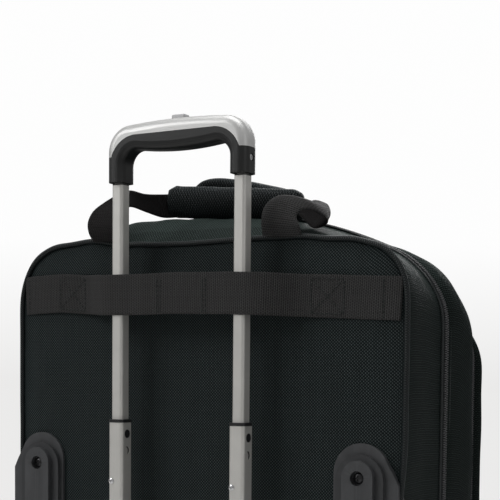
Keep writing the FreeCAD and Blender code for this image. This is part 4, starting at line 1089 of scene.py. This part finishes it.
# ============================================================ carry handle over the back top edge
def ribbon3(name, A, C, B, t, mats, n=90, m=14, body="carry_handle", raw=False):
    """A strip between edge curves A and B, passing C in the middle, with thickness t."""
    if raw:
        A, C, B = (catmull_raw(q) for q in (A, C, B))
        n = len(A)
    else:
        A, C, B = (catmull(q, n) for q in (A, C, B))
    grid = []
    for a, c, b in zip(A, C, B):
        a, c, b = Vector(a), Vector(c), Vector(b)
        row = []
        for j in range(m + 1):
            f = j / m
            row.append(a * (2 * (f - 0.5) * (f - 1)) + c * (4 * f * (1 - f)) + b * (2 * f * (f - 0.5)))
        grid.append(row)
    nrm = []
    for i in range(n):
        row = []
        for j in range(m + 1):
            du = grid[min(i + 1, n - 1)][j] - grid[max(i - 1, 0)][j]
            dv = grid[i][min(j + 1, m)] - grid[i][max(j - 1, 0)]
            row.append(du.cross(dv).normalized())
        nrm.append(row)
    verts, faces, uvs, mi = [], [], [], []
    for sg in (0.5, -0.5):
        for i in range(n):
            for j in range(m + 1):
                k = 1.0 if 0 < j < m else 0.6
                verts.append(tuple(grid[i][j] + nrm[i][j] * (t * sg * k)))
    W = m + 1
    off = n * W
    ulen = [0.0]
    for i in range(1, n):
        ulen.append(ulen[-1] + (grid[i][m // 2] - grid[i - 1][m // 2]).length)
    wid = [38.0 * j / m for j in range(W)]
    for i in range(n - 1):
        for j in range(m):
            q = [(i, j), (i, j + 1), (i + 1, j + 1), (i + 1, j)]
            faces.append(tuple(a * W + b for a, b in q))
            uvs.append([(ulen[a], wid[b]) for a, b in q])
            faces.append(tuple(off + a * W + b for a, b in reversed(q)))
            uvs.append([(ulen[a], wid[b]) for a, b in reversed(q)])
            mi += [0, len(mats) - 1]
        mi += [0, 0]
        for j, rev in ((0, False), (m, True)):
            f = [i * W + j, (i + 1) * W + j, off + (i + 1) * W + j, off + i * W + j]
            uv = [(ulen[i], 0), (ulen[i + 1], 0), (ulen[i + 1], t), (ulen[i], t)]
            faces.append(tuple(reversed(f)) if rev else tuple(f))
            uvs.append(list(reversed(uv)) if rev else uv)
    for i, rev in ((0, True), (n - 1, False)):
        for j in range(m):
            f = [i * W + j, i * W + j + 1, off + i * W + j + 1, off + i * W + j]
            uv = [(0, wid[j]), (0, wid[j + 1]), (t, wid[j + 1]), (t, wid[j])]
            faces.append(tuple(reversed(f)) if rev else tuple(f))
            uvs.append(list(reversed(uv)) if rev else uv)
            mi.append(0)
    o = new_object(name, verts, faces, mats, mi, uvs)
    bm = bmesh.new()
    bm.from_mesh(o.data)
    bmesh.ops.recalc_face_normals(bm, faces=bm.faces)
    bm.to_mesh(o.data)
    bm.free()
    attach(o, body)
    return o


def P(u, v, w):
    return (-u, w + 115.0, v + 280.0)


LA = [P(-114, 131, 6), P(-120, 140, 6), P(-123.5, 151, 3), P(-121, 162, -2), P(-113, 171, -9), P(-104, 180, -20), P(-97, 185, -30), P(-87, 182.5, -42), P(-77, 183, -55), P(-62, 184, -66)]
LB = [P(-77, 131, 6), P(-79, 141, 5), P(-82, 151, 1), P(-86, 159, -5), P(-90, 164, -12), P(-92, 167, -20), P(-92, 168, -30), P(-85, 164, -44), P(-75, 160, -58), P(-60, 161, -68)]
LC = [P(-95, 131, 6.5), P(-99, 141, 7), P(-102, 151, 4), P(-103, 161, -2), P(-101, 168, -10), P(-98, 174, -20), P(-94, 176, -31), P(-86, 173, -44), P(-76, 171.5, -57), P(-61, 172, -68)]
RA = [(113.9, 126.8, 2), (113.6, 135.5, 6.5), (109.9, 144.9, 5), (115, 150.6, 0), (121, 150, -6), (127.6, 146.3, -10), (128.5, 142.0, -19), (121, 139.4, -28), (108, 138.6, -37), (97, 142, -46), (80, 154, -56), (62, 160, -62)]
RB = [(73.9, 127.8, 2), (74.3, 141.2, 6), (74.6, 152.3, 3), (78, 159.8, -1), (82.4, 164.7, -8), (88.4, 163, -18), (96, 160, -30), (104, 164.5, -42), (111, 162, -52), (102, 164, -60), (82, 170, -66), (62, 174, -70)]
RUMP = [(0, 0, 0.8), (0, 0, 1.5), (0, 1, 3), (0, 3, 4), (1, 5, 4), (3, 6, 2), (6, 6, 0), (7, 3, -2), (6, -1, -3), (3, -3, -2), (1, -2, -1), (0, 0, 0)]
RC = [tuple((a + b) / 2 + c for a, b, c in zip(A, B, K)) for A, B, K in zip(RA, RB, RUMP)]
RA, RB, RC = ([P(*q) for q in side] for side in (RA, RB, RC))
# painted shade: the left handle webbing is wholly the darker copy; the right one has it on its other face, in the
# hollow of its loop
o = ribbon3("carry_webbing_left", LA, LC, LB, 1.9, ["webbing_painted_shade"])
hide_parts("carry_handle_webbing")
o2 = ribbon3("carry_webbing_right", RA, RC, RB, 1.9, ["webbing", "webbing_painted_shade"], raw=True)


def puff(o, voxel=0.0045, pressure=4.0, stiff=15.0, frames=20, cap=None, pin=None, seed=0.0, sub=1):
    """Swells a sewn, stuffed piece with the cloth solver and bakes the result into its mesh."""
    rm = o.modifiers.new("remesh", "REMESH")
    rm.mode = "VOXEL"
    rm.voxel_size = voxel
    apply_mods(o)
    rest = [v.co.copy() for v in o.data.vertices]
    sc = bpy.context.scene
    sc.frame_start, sc.frame_end = 1, frames
    sc.frame_set(1)
    c = o.modifiers.new("cloth", "CLOTH")
    s = c.settings
    s.quality = 6
    s.mass = 0.25
    s.tension_stiffness = stiff
    s.compression_stiffness = stiff
    s.shear_stiffness = stiff * 0.4
    s.bending_stiffness = 0.4
    s.use_pressure = True
    s.uniform_pressure_force = pressure
    s.effector_weights.gravity = 0.0
    s.air_damping = 4.0
    if pin:
        vg = o.vertex_groups.new(name="pin")
        for v in o.data.vertices:
            w = pin(v.co)
            if w > 0:
                vg.add([v.index], w, "REPLACE")
        s.vertex_group_mass = "pin"
    for f in range(1, frames + 1):
        sc.frame_set(f)
    apply_mods(o)
    sc.frame_set(1)
    if cap:
        for v, r in zip(o.data.vertices, rest):
            d = v.co - r
            if d.length > cap * MM:
                v.co = r + d * (cap * MM / d.length)
    sm = o.modifiers.new("relax", "SMOOTH")
    sm.factor, sm.iterations = 0.5, 3
    if sub:
        sd = o.modifiers.new("sub", "SUBSURF")
        sd.levels = sd.render_levels = sub
    apply_mods(o)
    for p in o.data.polygons:
        p.use_smooth = True
    box_uv(o)
    return o


def pad_mesh(name, x0, x1, cy, cz, ry, rz, n=40, m=60, tilt=0.0, mats=("pad",)):
    """A stuffed sleeve along X with gathered ends and a folded hem near each end."""
    rings = []
    for i in range(m + 1):
        f = i / m
        x = x0 + (x1 - x0) * f
        e = min(f, 1 - f) * (x1 - x0)
        k = min(1.0, 0.80 + 0.20 * smoothstep(0, 9, e))
        k *= 1 - 0.07 * math.exp(-((e - 13) / 1.8) ** 2) + 0.05 * math.exp(-((e - 9) / 2.6) ** 2)
        k *= 1 + 0.012 * nz(x, 0, 0, 20, 51)
        row = []
        for j in range(n):
            a = 2 * math.pi * j / n
            c, s = math.cos(a), math.sin(a)
            p = 2.6
            r = (abs(c) ** p + abs(s) ** p) ** (-1 / p)
            wob = 1 + 0.02 * nz(x * 0.7, 30 * c, 30 * s, 14, 52)
            row.append((x, cy + ry * k * r * c * wob, cz + tilt * (f - 0.5) + rz * k * r * s * wob))
        rings.append(row)
    return loft_rings(name, rings, list(mats), [0] * m, ["wrap"] * m)


pad = pad_mesh("carry_pad", -78, 72, 48, 450.2, 13.2, 16.2, tilt=13.2)
puff(pad, 0.004, 4.0, cap=1.8)
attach(pad, "carry_handle")
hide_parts("carry_handle_pad")


# ============================================================ front handle
FH = [(67, 437), (67.5, 448), (66.5, 459), (62, 469.5), (53, 476), (40, 476.8), (26, 474.8), (4, 470.5), (-14, 466), (-34, 461.5), (-46, 456.5), (-52.5, 450), (-54.5, 443), (-55, 434)]
hp = catmull([(x, 1.0 + 6.0 * smoothstep(440, 466, z), z) for x, z in FH], 130)
fh_up = lambda i: (0, 1, 0)
fh_run = [0.0]
for a, b in zip(hp, hp[1:]):
    fh_run.append(fh_run[-1] + math.dist(a, b))


def fh_profile(i):
    """Padded in the middle, flat webbing at both ends."""
    e = min(fh_run[i], fh_run[-1] - fh_run[i])
    k = smoothstep(16, 27, e)
    fold = 1 + 0.05 * math.exp(-((e - 27) / 2.0) ** 2) + 0.02 * nz(fh_run[i], 0, 0, 11, 61)
    a, b = (2.2 + 4.8 * k) * fold, (12.5 + 0.5 * k) * fold
    p = 2.4
    out = []
    for j in range(28):
        t = 2 * math.pi * j / 28
        c, s_ = math.cos(t), math.sin(t)
        r = (abs(c) ** p + abs(s_) ** p) ** (-1 / p)
        out.append((a * r * c, b * r * s_))
    return out


fh = sweep("front_carry_grip", hp, fh_profile, ["pad"], up=fh_up)
puff(fh, 0.004, 4.0, cap=1.2, seed=2.0)
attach(fh, "front_handle")
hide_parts("front_handle")


# ============================================================ inside: padded sleeve and its strap
def sleeve_mesh():
    o = cube("sleeve_pad", -195, 195, 62, 69, 88, 350)
    for e in (cube("sleeve_floor", -195, 195, 66, 108.5, 86, 92),):
        m = o.modifiers.new("u", "BOOLEAN")
        m.operation = "UNION"
        m.solver = "EXACT"
        m.object = e
        apply_mods(o)
        bpy.data.objects.remove(e)
    b = o.modifiers.new("b", "BEVEL")
    b.width, b.segments = 0.0028, 3
    apply_mods(o)
    o.data.materials.clear()
    o.data.materials.append(M["lining"])
    return o


sl = sleeve_mesh()
puff(sl, 0.005, 3.0, cap=1.6, pin=lambda co: 1.0 if co.z < 0.096 else 0.0)
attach(sl, "case")
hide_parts("laptop_sleeve")
path = catmull([(0, 60.4, 205), (0, 60.3, 260), (0, 60.2, 320), (0, 60.3, 346), (0, 62.5, 353), (0, 70, 354.4), (0, 85, 354.6), (0, 100, 354), (0, 106, 350), (0, 107.2, 340), (0, 107.4, 322)], 80)
rs = sweep("sleeve_strap", path, flat(40, 1.8, 0.4, 14), ["webbing"], up=lambda i: tuple(Vector((1, 0, 0)).cross(Vector(path[min(i + 1, 79)]) - Vector(path[max(i - 1, 0)]))))
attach(rs, "case")
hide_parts("laptop_retaining_strap")


# ============================================================ stage, light and camera
def stage():
    bpy.ops.mesh.primitive_circle_add(vertices=96, radius=30.0, fill_type="NGON")
    f = bpy.context.object
    f.name = "floor"
    f.location = (0, 0, -0.0002)
    m = bpy.data.materials.new("floor_paper")
    m.use_nodes = True
    t = m.node_tree
    for n in list(t.nodes):
        t.nodes.remove(n)
    g = G(t)
    out = t.nodes.new("ShaderNodeOutputMaterial")
    b = t.nodes.new("ShaderNodeBsdfPrincipled")
    obj = g.n("ShaderNodeTexCoord").outputs["Object"]
    c = g.noise(obj, 3.0, 2.0)
    g.put(b.inputs["Base Color"], g.mix(c, (0.80, 0.795, 0.785, 1), (0.83, 0.825, 0.815, 1)))
    b.inputs["Roughness"].default_value = 0.75
    b.inputs["Specular IOR Level"].default_value = 0.2
    em = t.nodes.new("ShaderNodeEmission")
    em.inputs["Color"].default_value = (0.83, 0.825, 0.82, 1)
    lp = t.nodes.new("ShaderNodeLightPath")
    em_s = g.m("MULTIPLY_ADD", lp.outputs["Is Camera Ray"], 0.7, 0.3)
    g.put(em.inputs["Strength"], em_s)
    dist = g.n("ShaderNodeVectorMath", operation="LENGTH", in_0=obj).outputs["Value"]
    k = g.n("ShaderNodeMapRange", in_0=dist)
    k.interpolation_type = "SMOOTHERSTEP"
    k.inputs["From Min"].default_value, k.inputs["From Max"].default_value = 0.35, 1.5
    mx = t.nodes.new("ShaderNodeMixShader")
    g.put(mx.inputs[0], k.outputs[0])
    t.links.new(b.outputs[0], mx.inputs[1])
    t.links.new(em.outputs[0], mx.inputs[2])
    t.links.new(mx.outputs[0], out.inputs[0])
    f.data.materials.append(m)

    w = bpy.data.worlds.new("studio")
    bpy.context.scene.world = w
    w.use_nodes = True
    t = w.node_tree
    for n in list(t.nodes):
        t.nodes.remove(n)
    g = G(t)
    out = t.nodes.new("ShaderNodeOutputWorld")
    bg = t.nodes.new("ShaderNodeBackground")
    bg2 = t.nodes.new("ShaderNodeBackground")
    lp = t.nodes.new("ShaderNodeLightPath")
    mx = t.nodes.new("ShaderNodeMixShader")
    co = g.n("ShaderNodeTexCoord").outputs["Generated"]
    sep = g.n("ShaderNodeSeparateXYZ", in_0=co)
    grad = g.ramp(g.m("MULTIPLY_ADD", sep.outputs[2], 0.5, 0.5), [(0.40, (0.72, 0.71, 0.69, 1)), (0.50, (0.83, 0.825, 0.82, 1)), (0.55, (0.985, 0.985, 0.985, 1)), (1.0, (1, 1, 1, 1))])
    g.put(bg.inputs["Color"], grad)
    bg.inputs["Strength"].default_value = 0.30
    g.put(bg2.inputs["Color"], grad)
    bg2.inputs["Strength"].default_value = 1.0
    t.links.new(lp.outputs["Is Camera Ray"], mx.inputs[0])
    t.links.new(bg.outputs[0], mx.inputs[1])
    t.links.new(bg2.outputs[0], mx.inputs[2])
    t.links.new(mx.outputs[0], out.inputs[0])

    def area(name, loc, target, size, power, color=(1, 1, 1)):
        d = bpy.data.lights.new(name, "AREA")
        d.shape = "RECTANGLE"
        d.size, d.size_y = size
        d.energy = power
        d.color = color
        o = bpy.data.objects.new(name, d)
        COL.objects.link(o)
        o.location = loc
        o.rotation_mode = "QUATERNION"
        o.rotation_quaternion = (Vector(target) - Vector(loc)).to_track_quat("-Z", "Y")
        return o

    area("key", (1.5, 1.7, 1.6), (0, 0.1, 0.35), (1.1, 1.1), 17)
    area("top", (0.0, 0.1, 2.2), (0, 0, 0.3), (1.6, 1.2), 19)
    area("side", (-2.2, 0.7, 0.9), (0, 0, 0.3), (1.0, 1.4), 2.8)
    area("front", (0.6, -2.2, 1.3), (0, 0, 0.25), (1.4, 1.2), 15)


stage()

cam_data = bpy.data.cameras.new("camera")
cam = bpy.data.objects.new("camera", cam_data)
COL.objects.link(cam)
bpy.context.scene.camera = cam
cam_data.lens = 93.6
cam_data.sensor_width = 36.0
yaw, pitch, roll = math.radians(29.9), math.radians(-3.7), math.radians(0.5)


def to_xyz(v):
    return Vector((-v[0], v[2], v[1]))


fwd = Vector((-math.sin(yaw), 0, -math.cos(yaw)))
right = Vector((math.cos(yaw), 0, -math.sin(yaw)))
up = Vector((0, 1, 0))
f2 = fwd * math.cos(pitch) + up * math.sin(pitch)
u2 = up * math.cos(pitch) - fwd * math.sin(pitch)
r3 = right * math.cos(roll) + u2 * math.sin(roll)
u3 = u2 * math.cos(roll) - right * math.sin(roll)
rm = Matrix((to_xyz(r3), to_xyz(u3), to_xyz(-f2))).transposed()
cam.rotation_mode = "QUATERNION"
cam.rotation_quaternion = rm.to_quaternion()
CAM_AT = (-0.6609, 1.1438, 0.2790)
cam.location = CAM_AT
cam_data.clip_start, cam_data.clip_end = 0.02, 40.0

# the lens is shifted up for the main view only; seen from anywhere else the shift fades out
fc = cam_data.driver_add("shift_y")
drv = fc.driver
drv.type = "SUM"
var = drv.variables.new()
var.name = "y"
var.type = "TRANSFORMS"
var.targets[0].id = cam
var.targets[0].transform_type = "LOC_Y"
var.targets[0].transform_space = "WORLD_SPACE"
for m in list(fc.modifiers):
    fc.modifiers.remove(m)
while fc.keyframe_points:
    fc.keyframe_points.remove(fc.keyframe_points[0])
for y, s in ((-50.0, 0.0), (CAM_AT[1] - 0.06, 0.0), (CAM_AT[1] - 0.03, 0.4258), (CAM_AT[1] + 0.03, 0.4258), (CAM_AT[1] + 0.06, 0.0), (50.0, 0.0)):
    k = fc.keyframe_points.insert(y, s)
    k.interpolation = "LINEAR"
cam_data.shift_y = 0.4258

sc = bpy.context.scene
sc.view_settings.view_transform = "Standard"
sc.view_settings.look = "None"
